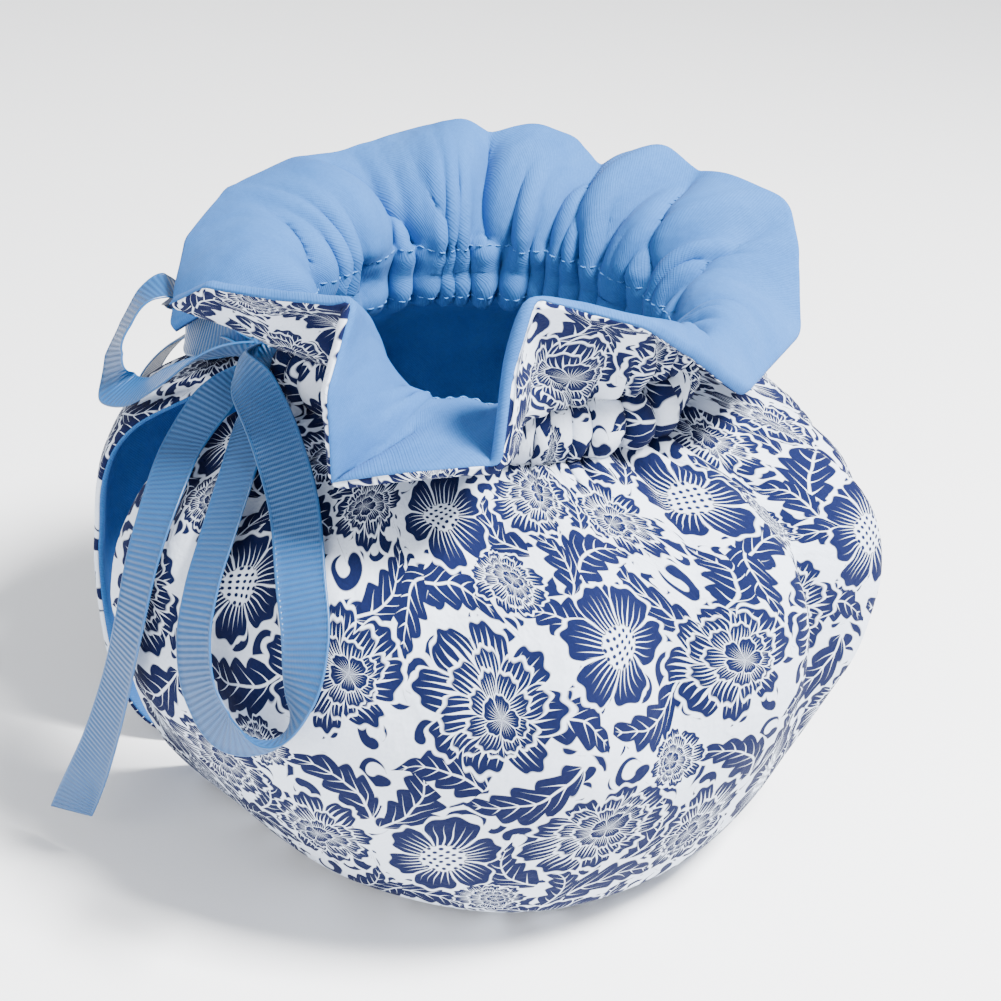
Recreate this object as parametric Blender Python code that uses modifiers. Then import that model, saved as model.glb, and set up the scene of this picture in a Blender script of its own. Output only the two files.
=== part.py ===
"""Tea cosy: a wrap of printed cotton and its plain lining, gathered at the neck and tied with ribbon.

Metres, +Z up. The hem lies on z = 0 and the origin is the middle of the footprint. +X points to the
spout side and -X to the handle slit, where the wrap's two ends meet. The tables are in millimetres and
degrees, about the neck's axis, and CENTRING moves their origin to the middle of the footprint.
"""
import math

import bmesh
import bpy
import numpy as np
from mathutils import Vector

MM = 0.001
COLLECTION = "tea_cosy"
GUIDES = "tea_cosy_cutters"
CENTRING = np.array((4.921, -1.417, 0.0))

# The cloth, in millimetres
SHEET = 1.0
SHEET_GAP = 0.34
COLUMNS = 97
GATHERS = 24
COLLAR_WIDTH = 39.0
COLLAR_STEPS = (0.2, 0.45, 0.72, 1.0)
# Where the curve of the collar's section is steered, as shares of its width from the casing and the edge
COLLAR_START_PULL = 0.42
COLLAR_EDGE_PULL = 0.3
COLLAR_OUTWARD = 1.25
COLLAR_RADIUS = 66.0

# How the gathers differ from each other: waves round the neck, share of the depth, start
GATHER_UNEVENNESS = [
    (3.0, 0.22, 1.0),
    (7.0, 0.16, 2.0),
]

# Half of the handle slit, in degrees, against height
SLIT = [
    # height, half angle
    (0.0, 4.0),
    (14.0, 6.0),
    (45.0, 10.0),
    (72.0, 10.0),
    (88.0, 9.0),
    (98.0, 8.0),
]

# Section of the body up to the collar: the middle of the cloth, and how deep the gathers are there
SECTION = [
    # place, radius, height, gather depth
    ("hem edge", 52.0, 1.17, 0.0),
    ("flat of the hem", 60.0, 1.17, 0.0),
    ("edge of the flat", 67.0, 1.17, 0.0),
    ("turn of the base", 75.5, 6.0, 0.0),
    ("lower side", 82.5, 18.0, 0.0),
    ("side", 86.5, 36.0, 0.2),
    ("widest", 87.0, 50.0, 0.4),
    ("upper side", 84.0, 66.0, 0.7),
    ("shoulder", 76.0, 79.0, 1.1),
    ("high shoulder", 63.0, 88.0, 1.5),
    ("under the casing", 48.0, 95.0, 1.4),
    ("lower stitching", 40.0, 98.0, 0.8),
    ("casing", 41.6, 104.0, 1.4),
    ("upper stitching", 39.0, 110.0, 0.8),
]
COLLAR_GATHER = [
    # share of the collar, gather depth
    (0.0, 0.8),
    (0.2, 1.3),
    (0.45, 1.0),
    (0.72, 0.5),
    (1.0, 0.1),
]

# How the body departs from a round one: added radius low down, at the middle and at the shoulder
PLAN = [
    # angle, low, middle, shoulder
    (180.0, -1.0, -2.0, 2.0),
    (160.0, 0.0, -1.0, 3.0),
    (120.0, 0.0, 0.0, 1.0),
    (60.0, 0.0, 0.0, 1.0),
    (20.0, -2.0, 0.0, 4.0),
    (-10.0, -5.0, -1.0, 5.0),
    (-40.0, -8.0, -4.0, 2.0),
    (-65.0, -7.0, -3.0, 0.0),
    (-90.0, -6.0, -1.0, -1.0),
    (-120.0, -10.0, -1.0, -1.0),
    (-155.0, -14.0, -2.0, 0.0),
    (-180.0, -6.0, -3.0, 0.0),
]

# Long soft folds of the body, running down from the neck, each fading in over its lowest part
FOLD_FADE = 34.0
BODY_FOLDS = [
    # angle at the neck, angle at the hip, depth, half width in degrees, lowest height
    (148.0, 156.0, 2.6, 8.0, 20.0),
    (118.0, 122.0, -2.4, 8.0, 26.0),
    (92.0, 90.0, 2.4, 8.0, 24.0),
    (62.0, 58.0, -2.4, 8.0, 20.0),
    (36.0, 30.0, 2.2, 7.0, 24.0),
    (-28.0, -24.0, 2.4, 7.0, 14.0),
    (-44.0, -40.0, -2.8, 6.0, 18.0),
    (-60.0, -56.0, 2.0, 7.0, 26.0),
    (-78.0, -72.0, -2.8, 6.0, 30.0),
    (-94.0, -92.0, 1.6, 8.0, 34.0),
    (-136.0, -140.0, -2.0, 7.0, 22.0),
    (-152.0, -152.0, 2.2, 7.0, 20.0),
]

# The collar's edge, from the slit's back end round the back, the spout side and the front
RIM = [
    # angle, radius, height, lift
    (162.0, 69.0, 104.0, 0.8),
    (157.0, 71.0, 108.0, 0.85),
    (150.0, 73.0, 113.0, 0.9),
    (137.0, 73.0, 120.0, 1.0),
    (122.0, 70.0, 124.0, 1.0),
    (112.0, 72.0, 123.0, 1.0),
    (98.0, 71.0, 127.0, 1.0),
    (86.0, 65.0, 133.0, 1.0),
    (80.0, 61.5, 131.5, 1.0),
    (70.0, 65.0, 133.0, 1.0),
    (62.0, 66.0, 130.0, 1.0),
    (54.0, 59.0, 127.0, 1.0),
    (48.0, 60.0, 131.0, 1.0),
    (41.0, 64.0, 134.0, 1.0),
    (33.0, 63.0, 131.5, 1.0),
    (22.0, 64.0, 132.5, 1.0),
    (9.0, 69.0, 131.0, 1.0),
    (2.0, 68.0, 125.0, 1.0),
    (-12.0, 66.0, 110.0, 0.8),
    (-44.0, 59.0, 109.0, 0.8),
    (-60.0, 56.0, 121.0, 0.9),
    (-74.0, 55.0, 130.0, 1.0),
    (-86.0, 52.0, 133.0, 1.0),
    (-97.0, 56.0, 137.0, 0.9),
    (-100.6, 62.0, 124.0, 0.5),
    (-101.5, 70.0, 109.0, 0.15),
    (-114.0, 73.0, 107.0, 0.1),
    (-127.0, 73.0, 101.0, 0.15),
    (-129.0, 72.0, 119.0, 0.5),
    (-131.0, 60.0, 132.0, 0.9),
    (-146.0, 62.0, 129.0, 0.85),
    (-160.0, 68.0, 127.0, 0.5),
    (-170.0, 71.0, 119.0, 0.25),
]
RIM_SOFTENING = 2.5

# Deep folds of the collar between the casing and its edge
COLLAR_FOLDS = [
    # angle at the edge, depth, half width along the edge
    (126.0, 3.0, 9.0),
    (108.0, -3.0, 5.0),
    (92.0, 2.4, 7.0),
    (79.0, -4.0, 4.0),
    (66.0, 2.4, 6.0),
    (53.0, -3.4, 4.5),
    (40.0, 2.4, 6.0),
    (30.0, -2.4, 5.0),
    (14.0, 2.0, 7.0),
    (-52.0, -2.0, 6.0),
    (-80.0, -2.0, 5.0),
    (-152.0, -2.0, 6.0),
]

# The neck leans to the front and is drawn to a point at the knot
NECK_LEAN_ANGLE = -110.0
NECK_LEAN_RADIUS = 3.0
NECK_LEAN_DROP = 2.0
NECK_POINT = 4.0
NECK_POINT_WIDTH = 25.0
NECK_START = 86.0
NECK_HEIGHT = 98.0

# The spout slit, at the angle 0
SPOUT_LOW = 42.0
SPOUT_HIGH = 86.0
SPOUT_HALF_WIDTH = 14.0
SPOUT_SPREAD = 30.0
SPOUT_ROUNDING = 0.7

# The way off the cloth at a place outside it: from the body's middle, scaled as a flattened ball
BODY_CENTRE = np.array((0.0, 0.0, 50.0))
BODY_ROUNDING = np.array((1.0, 1.0, 2.8))

# The ribbon, in millimetres: routes of the two loops and the two tails, from and to the knot. The turn
# lifts the ribbon's right edge off the cloth, in degrees, as seen from outside along the route.
RIBBON_WIDTH = 10.0
RIBBON_THICK = 0.9
RIBBON_STEP = 3.2
SQUEEZED = 0.35
SQUEEZE_LENGTH = 18.0
TAIL_CUT = 7.0
TAIL_CUT_STEPS = 4
KNOT_CENTRE = (-47.5, 0.0, 101.0)
KNOT_SIZE = (11.0, 12.0, 13.0)
FRONT_LOOP = [
    # x, y, z, turn
    (-48.0, -2.5, 99.0, -70.0),
    (-53.0, -11.0, 100.0, -60.0),
    (-54.5, -24.0, 97.0, -14.0),
    (-59.0, -35.5, 90.5, -12.0),
    (-63.0, -44.0, 83.5, -12.0),
    (-66.5, -50.5, 76.0, -12.0),
    (-68.5, -56.0, 67.0, -10.0),
    (-67.5, -61.5, 58.5, -8.0),
    (-63.5, -67.0, 53.5, -8.0),
    (-58.0, -71.5, 54.0, -45.0),
    (-53.0, -75.5, 58.5, -105.0),
    (-50.5, -74.5, 66.0, -150.0),
    (-49.0, -69.5, 74.5, -174.0),
    (-49.0, -61.0, 82.5, -180.0),
    (-49.0, -47.5, 92.0, -180.0),
    (-51.0, -34.5, 99.0, -180.0),
    (-53.5, -20.0, 102.5, -165.0),
    (-55.5, -11.0, 104.5, -130.0),
    (-50.0, -3.5, 105.0, -110.0),
]
BACK_LOOP = [
    (-49.5, 4.0, 100.8, 75.0),
    (-56.1, 9.9, 100.5, 60.0),
    (-61.0, 19.6, 97.8, 45.0),
    (-63.2, 27.9, 95.8, 55.0),
    (-63.9, 32.2, 97.5, 80.0),
    (-64.2, 33.8, 101.0, 75.0),
    (-66.8, 33.0, 104.0, 40.0),
    (-72.1, 31.1, 103.0, 10.0),
    (-76.9, 28.5, 97.1, 0.0),
    (-79.7, 25.7, 91.0, 0.0),
    (-79.5, 21.3, 85.5, 0.0),
    (-76.2, 15.5, 86.4, 0.0),
    (-70.3, 9.9, 92.2, 0.0),
    (-62.8, 5.5, 98.5, 20.0),
    (-55.0, 1.5, 102.5, 55.0),
    (-48.5, -1.0, 104.0, 80.0),
]
FRONT_TAIL = [
    (-49.5, -1.5, 101.0, 60.0),
    (-58.5, -8.5, 98.0, 30.0),
    (-67.0, -16.5, 90.5, 12.0),
    (-72.5, -28.0, 84.0, 4.0),
    (-77.0, -36.0, 74.0, 0.0),
    (-80.0, -40.5, 62.0, 0.0),
    (-83.0, -40.5, 47.0, 0.0),
    (-87.0, -38.0, 30.0, 0.0),
    (-92.5, -32.5, 11.0, 0.0),
]
BACK_TAIL = [
    (-50.0, 0.5, 100.3, -60.0),
    (-53.0, 8.5, 100.6, -40.0),
    (-53.5, 17.0, 99.3, -15.0),
    (-54.0, 26.0, 97.5, -5.0),
    (-57.5, 35.5, 93.5, 0.0),
    (-63.5, 44.0, 87.0, 0.0),
    (-69.5, 50.0, 77.5, 0.0),
    (-73.5, 53.3, 65.0, 0.0),
    (-75.2, 54.2, 52.0, 0.0),
    (-75.0, 54.2, 43.0, 0.0),
    (-74.0, 53.8, 34.0, 0.0),
]


def remove_everything():
    for thing in list(bpy.data.objects):
        bpy.data.objects.remove(thing)


def new_collection(name):
    collection = bpy.data.collections.get(name) or bpy.data.collections.new(name)
    if collection.name not in bpy.context.scene.collection.children:
        bpy.context.scene.collection.children.link(collection)
    return collection


def cloth_material(name, colour, roughness):
    material = bpy.data.materials.new(name)
    material.use_nodes = True
    shader = material.node_tree.nodes["Principled BSDF"]
    shader.inputs["Base Color"].default_value = (*colour, 1.0)
    shader.inputs["Roughness"].default_value = roughness
    shader.inputs["Metallic"].default_value = 0.0
    return material


def through(x, knots, values):
    """A smooth curve through the points (knots, values), knots rising, read at x."""
    knots = np.asarray(knots, float)
    values = np.asarray(values, float)
    slopes = np.gradient(values, knots)
    x = np.clip(x, knots[0], knots[-1])
    i = np.clip(np.searchsorted(knots, x, side="right") - 1, 0, len(knots) - 2)
    h = knots[i + 1] - knots[i]
    t = (x - knots[i]) / h
    return (
        values[i] * (1 + 2 * t) * (1 - t) ** 2
        + slopes[i] * h * t * (1 - t) ** 2
        + values[i + 1] * t * t * (3 - 2 * t)
        + slopes[i + 1] * h * t * t * (t - 1)
    )


def eased(x, low, high):
    """0 up to low, 1 from high, and a smooth step between them."""
    t = np.clip((x - low) / (high - low), 0.0, 1.0)
    return t * t * (3 - 2 * t)


def rim_at(u):
    """Angle, place and lift of the collar's edge at the shares u of the cloth's length."""
    angle, radius, height, lift = np.array(RIM).T
    a = np.radians(angle)
    corners = np.stack([radius * np.cos(a), radius * np.sin(a), height], axis=1)
    run = np.concatenate([[0.0], np.cumsum(np.linalg.norm(np.diff(corners, axis=0), axis=1))])
    length = run[-1]
    point = np.zeros((len(u), 3))
    rise = np.zeros(len(u))
    turn = np.zeros(len(u))
    shifts = np.linspace(-RIM_SOFTENING, RIM_SOFTENING, 5)
    for shift in shifts:
        s = np.clip(u * length + shift * np.minimum(1.0, 4.0 * np.minimum(u, 1.0 - u)), 0.0, length)
        point += np.stack([np.interp(s, run, corners[:, k]) for k in range(3)], axis=1) / len(shifts)
        rise += np.interp(s, run, lift) / len(shifts)
        turn += np.interp(s, run, angle) / len(shifts)
    return turn, point, rise


def body_angle(u, height):
    """Angle of the cloth round the body, with the handle slit left open between its ends."""
    half = np.interp(height, [row[0] for row in SLIT], [row[1] for row in SLIT])
    return (1.0 - 2.0 * u) * (180.0 - half)


def root_angle(u, edge_angle):
    """Angle of the cloth at the neck: half way between the body below and the collar's edge."""
    share = 0.5 * (1.0 - (2.0 * u - 1.0) ** 8)
    return body_angle(u, NECK_HEIGHT) * (1.0 - share) + edge_angle * share


def plan_offset(angle, height):
    """Added radius that makes the body as uneven as in the photograph."""
    table = np.array(PLAN)[::-1]
    low, middle, shoulder = (through(angle, table[:, 0], table[:, k]) for k in (1, 2, 3))
    return (
        low * (1.0 - eased(height, 8.0, 56.0))
        + middle * eased(height, 8.0, 44.0) * (1.0 - eased(height, 56.0, 90.0))
        + shoulder * eased(height, 50.0, 80.0) * (1.0 - eased(height, 86.0, 97.0))
    )


def fold_offset(angle, height):
    """Added radius of the long folds that run down from the neck and fade out below."""
    total = np.zeros_like(angle)
    for top, hip, depth, half_width, lowest in BODY_FOLDS:
        middle = hip + (top - hip) * eased(height, 45.0, 95.0)
        reach = eased(height, lowest, lowest + FOLD_FADE) * (1.0 - eased(height, 84.0, 97.0))
        total += depth * reach * np.exp(-(((angle - middle) / half_width) ** 2))
    return total


def neck_offset(angle, height):
    """Added radius of the leaning neck and of its drawn point at the knot."""
    share = eased(height, NECK_START, NECK_HEIGHT)
    lean = NECK_LEAN_RADIUS * np.cos(np.radians(angle - NECK_LEAN_ANGLE))
    past = 180.0 - np.abs(angle)
    return share * (lean + NECK_POINT * np.exp(-((past / NECK_POINT_WIDTH) ** 2)))


def spout_shift(angle, radius, height, side):
    """Angle by which the cloth is pushed off the spout slit, on the side given by +1 or -1."""
    rise = np.clip((height - SPOUT_LOW) / (SPOUT_HIGH - SPOUT_LOW), 0.0, 1.0)
    width = SPOUT_HALF_WIDTH * np.sin(math.pi * rise) ** SPOUT_ROUNDING
    away = np.abs(np.radians(angle)) * radius
    return side * np.degrees(width * np.exp(-away / SPOUT_SPREAD) / radius)


def polar(angle, radius, height):
    a = np.radians(angle)
    return np.stack([radius * np.cos(a), radius * np.sin(a), height], axis=-1)


def body_rows(u, side, edge_angle):
    """Rows of points from the hem to the upper stitching, at the shares u of the cloth's length."""
    rows = []
    for _, radius, height, _ in SECTION:
        z = np.full(len(u), height)
        angle = body_angle(u, z)
        angle = angle + (root_angle(u, edge_angle) - angle) * eased(z, 74.0, NECK_HEIGHT)
        r = radius + plan_offset(angle, z) + fold_offset(angle, z) + neck_offset(angle, z)
        drop = NECK_LEAN_DROP * np.cos(np.radians(angle - NECK_LEAN_ANGLE))
        z = z - drop * eased(z, NECK_START, NECK_HEIGHT)
        angle = angle + spout_shift(angle, r, z, side)
        rows.append(polar(angle, r, z))
    return rows


def collar_rows(u, root, edge, lift):
    """Rows of the collar: each section is a Bezier curve from the casing up and out to the edge."""
    out = root * (1.0, 1.0, 0.0)
    out /= np.linalg.norm(out, axis=1, keepdims=True)
    up = np.array([0.0, 0.0, 1.0])
    start = lift[:, None] * up + (COLLAR_OUTWARD - lift[:, None]) * out
    start /= np.linalg.norm(start, axis=1, keepdims=True)
    first = root + COLLAR_START_PULL * COLLAR_WIDTH * start
    along = edge - first
    along /= np.linalg.norm(along, axis=1, keepdims=True)
    second = edge - COLLAR_EDGE_PULL * COLLAR_WIDTH * along
    rows = []
    for t in COLLAR_STEPS:
        near = (1 - t) ** 3 * root + 3 * t * (1 - t) ** 2 * first
        far = 3 * t * t * (1 - t) * second + t**3 * edge
        rows.append(near + far)
    return rows


def section_normals(grid):
    """Outward direction square to each section: along the section, crossed with the way round."""
    along = np.gradient(grid, axis=0)
    radius = np.linalg.norm(grid[..., :2], axis=-1)
    back_round = np.stack([grid[..., 1], -grid[..., 0], np.zeros_like(radius)], axis=-1)
    normal = np.cross(along, back_round / radius[..., None])
    return normal / np.linalg.norm(normal, axis=-1, keepdims=True)


def gather_depth(u, edge_angle):
    """Offset of each point along its section's normal: the neck's gathers and the collar's folds."""
    wave = np.cos(2.0 * math.pi * GATHERS * u)
    for count, share, start in GATHER_UNEVENNESS:
        wave = wave * (1.0 + share * np.sin(2.0 * math.pi * count * u + start))
    rows = [depth * wave for _, _, _, depth in SECTION]
    shares = [row[0] for row in COLLAR_GATHER]
    for t in COLLAR_STEPS:
        fold = np.zeros(len(u))
        for middle, depth, half_width in COLLAR_FOLDS:
            away = np.radians(edge_angle - middle) * COLLAR_RADIUS
            swell = math.sin(math.pi * (0.2 + 0.8 * t))
            fold += depth * swell * np.exp(-((away / half_width) ** 2))
        depth = np.interp(t, shares, [row[1] for row in COLLAR_GATHER])
        rows.append(depth * wave - fold)
    return np.stack(rows)


def cloth_grid(u, side):
    """The middle of the cloth as rows of points, hem first, in millimetres."""
    edge_angle, edge, lift = rim_at(u)
    rows = body_rows(u, side, edge_angle)
    rows += collar_rows(u, rows[-1], edge, lift)
    grid = np.stack(rows)
    return grid + gather_depth(u, edge_angle)[..., None] * section_normals(grid)


def middle_mesh():
    """One open mesh of the cloth's middle surface, whose two halves part at the spout slit."""
    shares = np.linspace(0.0, 1.0, COLUMNS)
    half = COLUMNS // 2
    builder = bmesh.new()
    for u, side in ((shares[: half + 1], 1.0), (shares[half:], -1.0)):
        grid = (cloth_grid(u, side) + CENTRING) * MM
        verts = [[builder.verts.new(point) for point in row] for row in grid]
        for low, high in zip(verts, verts[1:]):
            for i in range(len(low) - 1):
                builder.faces.new((low[i], high[i], high[i + 1], low[i + 1]))
    bmesh.ops.remove_doubles(builder, verts=builder.verts, dist=0.00002)
    mesh = bpy.data.meshes.new("cloth_middle")
    builder.to_mesh(mesh)
    builder.free()
    return mesh


def cloth_sheet(name, middle, side, material, collection):
    """A sheet that starts half the gap from the middle surface and thickens away from it."""
    mesh = middle.copy()
    mesh.name = name
    flat = np.empty(len(mesh.vertices) * 3)
    mesh.vertices.foreach_get("co", flat)
    normals = np.array([tuple(entry.vector) for entry in middle.vertex_normals])
    points = flat.reshape(-1, 3) + side * 0.5 * SHEET_GAP * MM * normals
    mesh.vertices.foreach_set("co", points.ravel())
    mesh.shade_smooth()
    mesh.materials.append(material)
    sheet = bpy.data.objects.new(name, mesh)
    collection.objects.link(sheet)
    solidify = sheet.modifiers.new("thickness", "SOLIDIFY")
    solidify.thickness = SHEET * MM
    solidify.offset = side
    return sheet


def ribbon_frame(route, cut):
    """Centre, width and thickness directions along a smooth curve through the route."""
    table = np.array(route)
    chord = np.linalg.norm(np.diff(table[:, :3], axis=0), axis=1)
    run = np.concatenate([[0.0], np.cumsum(chord)])
    s = np.linspace(0.0, run[-1], max(2, int(round(run[-1] / RIBBON_STEP))) + 1)
    centre = np.stack([through(s, run, table[:, k]) for k in range(3)], axis=1)
    turn = np.radians(through(s, run, table[:, 3]))[:, None]
    along = np.gradient(centre, axis=0)
    along /= np.linalg.norm(along, axis=1, keepdims=True)
    off_cloth = (centre - BODY_CENTRE) * BODY_ROUNDING
    flat = np.cross(along, off_cloth)
    flat /= np.linalg.norm(flat, axis=1, keepdims=True)
    width = np.cos(turn) * flat + np.sin(turn) * np.cross(flat, along)
    thick = np.cross(along, width)
    from_knot = s if cut else np.minimum(s, run[-1] - s)
    squeeze = SQUEEZED + (1.0 - SQUEEZED) * eased(from_knot, 0.0, SQUEEZE_LENGTH)
    return centre, along, width * squeeze[:, None], thick


def strip_mesh(name, route, cut=0.0):
    """A ribbon along the route, squeezed at the knot; a cut above 0 slants its free end."""
    centre, along, width, thick = ribbon_frame(route, cut)
    slant = cut * np.clip(np.linspace(1.0 - len(centre) / TAIL_CUT_STEPS, 1.0, len(centre)), 0.0, 1.0)
    builder = bmesh.new()
    rings = []
    for i in range(len(centre)):
        ring = []
        for across, through_cloth in ((-0.5, -0.5), (0.5, -0.5), (0.5, 0.5), (-0.5, 0.5)):
            point = centre[i] + across * (RIBBON_WIDTH * width[i] + slant[i] * along[i])
            point += through_cloth * RIBBON_THICK * thick[i] + CENTRING
            ring.append(builder.verts.new(point * MM))
        rings.append(ring)
    for first, second in zip(rings, rings[1:]):
        for k in range(4):
            builder.faces.new((first[k], first[(k + 1) % 4], second[(k + 1) % 4], second[k]))
    builder.faces.new(rings[0][::-1])
    builder.faces.new(rings[-1])
    bmesh.ops.recalc_face_normals(builder, faces=builder.faces)
    mesh = bpy.data.meshes.new(name)
    builder.to_mesh(mesh)
    builder.free()
    return mesh


def ribbon_tie(material, collection, guides):
    """Knot, two loops and two tails, joined into one closed piece."""
    bpy.ops.mesh.primitive_uv_sphere_add(segments=16, ring_count=10, radius=0.5)
    knot = bpy.context.object
    knot.name = "ribbon_tie"
    knot.data.name = "ribbon_tie"
    for vertex in knot.data.vertices:
        stretched = Vector(a * b for a, b in zip(vertex.co, KNOT_SIZE))
        vertex.co = (stretched + Vector(KNOT_CENTRE) + Vector(CENTRING)) * MM
    for owner in list(knot.users_collection):
        owner.objects.unlink(knot)
    collection.objects.link(knot)
    knot.data.shade_smooth()
    knot.data.materials.append(material)
    pieces = (
        ("front_loop", FRONT_LOOP, 0.0),
        ("back_loop", BACK_LOOP, 0.0),
        ("front_tail", FRONT_TAIL, TAIL_CUT),
        ("back_tail", BACK_TAIL, TAIL_CUT),
    )
    for name, route, cut in pieces:
        piece = bpy.data.objects.new(name, strip_mesh(name, route, cut))
        piece.data.materials.append(material)
        piece.hide_render = True
        piece.display_type = "WIRE"
        guides.objects.link(piece)
        union = knot.modifiers.new(name, "BOOLEAN")
        union.operation = "UNION"
        union.solver = "EXACT"
        union.object = piece
    return knot


def main():
    remove_everything()
    collection = new_collection(COLLECTION)
    guides = new_collection(GUIDES)
    print_cotton = cloth_material("print_cotton", (0.62, 0.66, 0.78), 0.85)
    blue_lining = cloth_material("blue_lining", (0.21, 0.44, 0.73), 0.8)
    grosgrain = cloth_material("grosgrain_ribbon", (0.05, 0.2, 0.45), 0.55)
    middle = middle_mesh()
    cloth_sheet("outer_cloth", middle, 1.0, print_cotton, collection)
    cloth_sheet("lining", middle, -1.0, blue_lining, collection)
    bpy.data.meshes.remove(middle)
    ribbon_tie(grosgrain, collection, guides)


main()
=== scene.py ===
import math

import bmesh
import bpy
import numpy as np
from mathutils import Matrix, Vector


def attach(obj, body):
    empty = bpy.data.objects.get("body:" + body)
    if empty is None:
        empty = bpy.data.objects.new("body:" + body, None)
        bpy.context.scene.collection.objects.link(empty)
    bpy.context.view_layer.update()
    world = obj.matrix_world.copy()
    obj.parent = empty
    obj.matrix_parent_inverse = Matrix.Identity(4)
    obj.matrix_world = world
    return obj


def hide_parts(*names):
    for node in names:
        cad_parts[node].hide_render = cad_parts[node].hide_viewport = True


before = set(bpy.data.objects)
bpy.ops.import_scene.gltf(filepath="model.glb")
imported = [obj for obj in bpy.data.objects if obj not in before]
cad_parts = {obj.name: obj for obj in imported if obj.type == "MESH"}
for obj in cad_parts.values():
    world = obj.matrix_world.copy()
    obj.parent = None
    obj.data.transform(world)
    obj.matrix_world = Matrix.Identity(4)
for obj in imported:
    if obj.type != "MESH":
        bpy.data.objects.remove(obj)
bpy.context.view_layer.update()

MM = 0.001
CENTRING = np.array((4.921, -1.417, 0.0))

# The cloth's tables, as in the solids
FLAT_LENGTH = 522.0
HALF_THICK = 1.17
GATHERS = 42
COLLAR_WIDTH = 39.0
COLLAR_START_PULL = 0.42
COLLAR_EDGE_PULL = 0.3
COLLAR_OUTWARD = 1.25
COLLAR_RADIUS = 66.0

SLIT = [
    # height, half angle
    (0.0, 4.0),
    (14.0, 6.0),
    (45.0, 10.0),
    (72.0, 10.0),
    (88.0, 9.0),
    (98.0, 8.0),
]
SECTION = [
    # place, radius, height
    ("hem edge", 52.0, 1.17),
    ("flat of the hem", 60.0, 1.17),
    ("edge of the flat", 67.0, 1.17),
    ("turn of the base", 75.5, 6.0),
    ("lower side", 82.5, 18.0),
    ("side", 86.5, 36.0),
    ("widest", 87.0, 50.0),
    ("upper side", 84.0, 66.0),
    ("shoulder", 76.0, 79.0),
    ("high shoulder", 63.0, 88.0),
    ("under the casing", 48.0, 95.0),
    ("lower stitching", 40.0, 98.0),
    ("casing", 41.6, 104.0),
    ("upper stitching", 39.0, 110.0),
]
PLAN = [
    # angle, and how far the body stands out low down, in the middle and at the shoulder
    (180.0, -1.0, -2.0, 2.0),
    (160.0, 0.0, -1.0, 3.0),
    (120.0, 0.0, 0.0, 1.0),
    (60.0, 0.0, 0.0, 1.0),
    (20.0, -2.0, 0.0, 4.0),
    (-10.0, -5.0, -1.0, 5.0),
    (-40.0, -8.0, -4.0, 2.0),
    (-65.0, -7.0, -3.0, 0.0),
    (-90.0, -6.0, -1.0, -1.0),
    (-120.0, -10.0, -1.0, -1.0),
    (-155.0, -14.0, -2.0, 0.0),
    (-180.0, -6.0, -3.0, 0.0),
]
# Heights over which each of the plan's columns comes in and goes out
LOW_ENDS = (8.0, 56.0)
MIDDLE_STARTS = (8.0, 44.0)
MIDDLE_ENDS = (56.0, 90.0)
SHOULDER_STARTS = (50.0, 80.0)
SHOULDER_ENDS = (86.0, 97.0)
FOLD_FADE = 34.0
FOLD_TURNS = (45.0, 95.0)
FOLD_ENDS = (84.0, 97.0)
BODY_FOLDS = [
    # angle at the neck, angle at the hip, depth, half width in degrees, lowest height
    (148.0, 156.0, 2.6, 8.0, 20.0),
    (118.0, 122.0, -2.4, 8.0, 26.0),
    (92.0, 90.0, 2.4, 8.0, 24.0),
    (62.0, 58.0, -2.4, 8.0, 20.0),
    (36.0, 30.0, 2.2, 7.0, 24.0),
    (-28.0, -24.0, 2.4, 7.0, 14.0),
    (-44.0, -40.0, -2.8, 6.0, 18.0),
    (-60.0, -56.0, 2.0, 7.0, 26.0),
    (-78.0, -72.0, -2.8, 6.0, 30.0),
    (-94.0, -92.0, 1.6, 8.0, 34.0),
    (-136.0, -140.0, -2.0, 7.0, 22.0),
    (-152.0, -152.0, 2.2, 7.0, 20.0),
]
RIM = [
    # angle, radius, height, lift
    (163.0, 70.0, 98.5, 0.05),
    (158.0, 71.0, 104.5, 0.5),
    (150.0, 73.0, 113.0, 0.9),
    (137.0, 73.0, 120.0, 1.0),
    (122.0, 70.0, 124.0, 1.0),
    (112.0, 72.0, 123.0, 1.0),
    (98.0, 71.0, 127.0, 1.0),
    (86.0, 65.0, 133.0, 1.0),
    (80.0, 61.5, 131.5, 1.0),
    (70.0, 65.0, 133.0, 1.0),
    (62.0, 66.0, 130.0, 1.0),
    (54.0, 59.0, 127.0, 1.0),
    (48.0, 60.0, 131.0, 1.0),
    (41.0, 64.0, 134.0, 1.0),
    (33.0, 63.0, 131.5, 1.0),
    (22.0, 64.0, 132.5, 1.0),
    (9.0, 69.0, 131.0, 1.0),
    (2.0, 68.0, 125.0, 1.0),
    (-12.0, 66.0, 110.0, 0.8),
    (-44.0, 59.0, 109.0, 0.8),
    (-60.0, 56.0, 121.0, 0.9),
    (-74.0, 55.0, 130.0, 1.0),
    (-86.0, 52.0, 133.0, 1.0),
    (-97.0, 56.0, 137.0, 0.9),
    (-100.6, 62.0, 124.0, 0.5),
    (-101.5, 70.0, 109.0, 0.15),
    (-114.0, 73.0, 107.0, 0.1),
    (-127.0, 73.0, 101.0, 0.15),
    (-129.0, 72.0, 119.0, 0.5),
    (-131.0, 60.0, 132.0, 0.9),
    (-146.0, 62.0, 129.0, 0.85),
    (-160.0, 68.0, 127.0, 0.5),
    (-170.0, 71.0, 119.0, 0.25),
]
RIM_SOFTENING = 2.5
RIM_SAMPLES = 9
RIM_HELD_ENDS = 4.0
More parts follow.
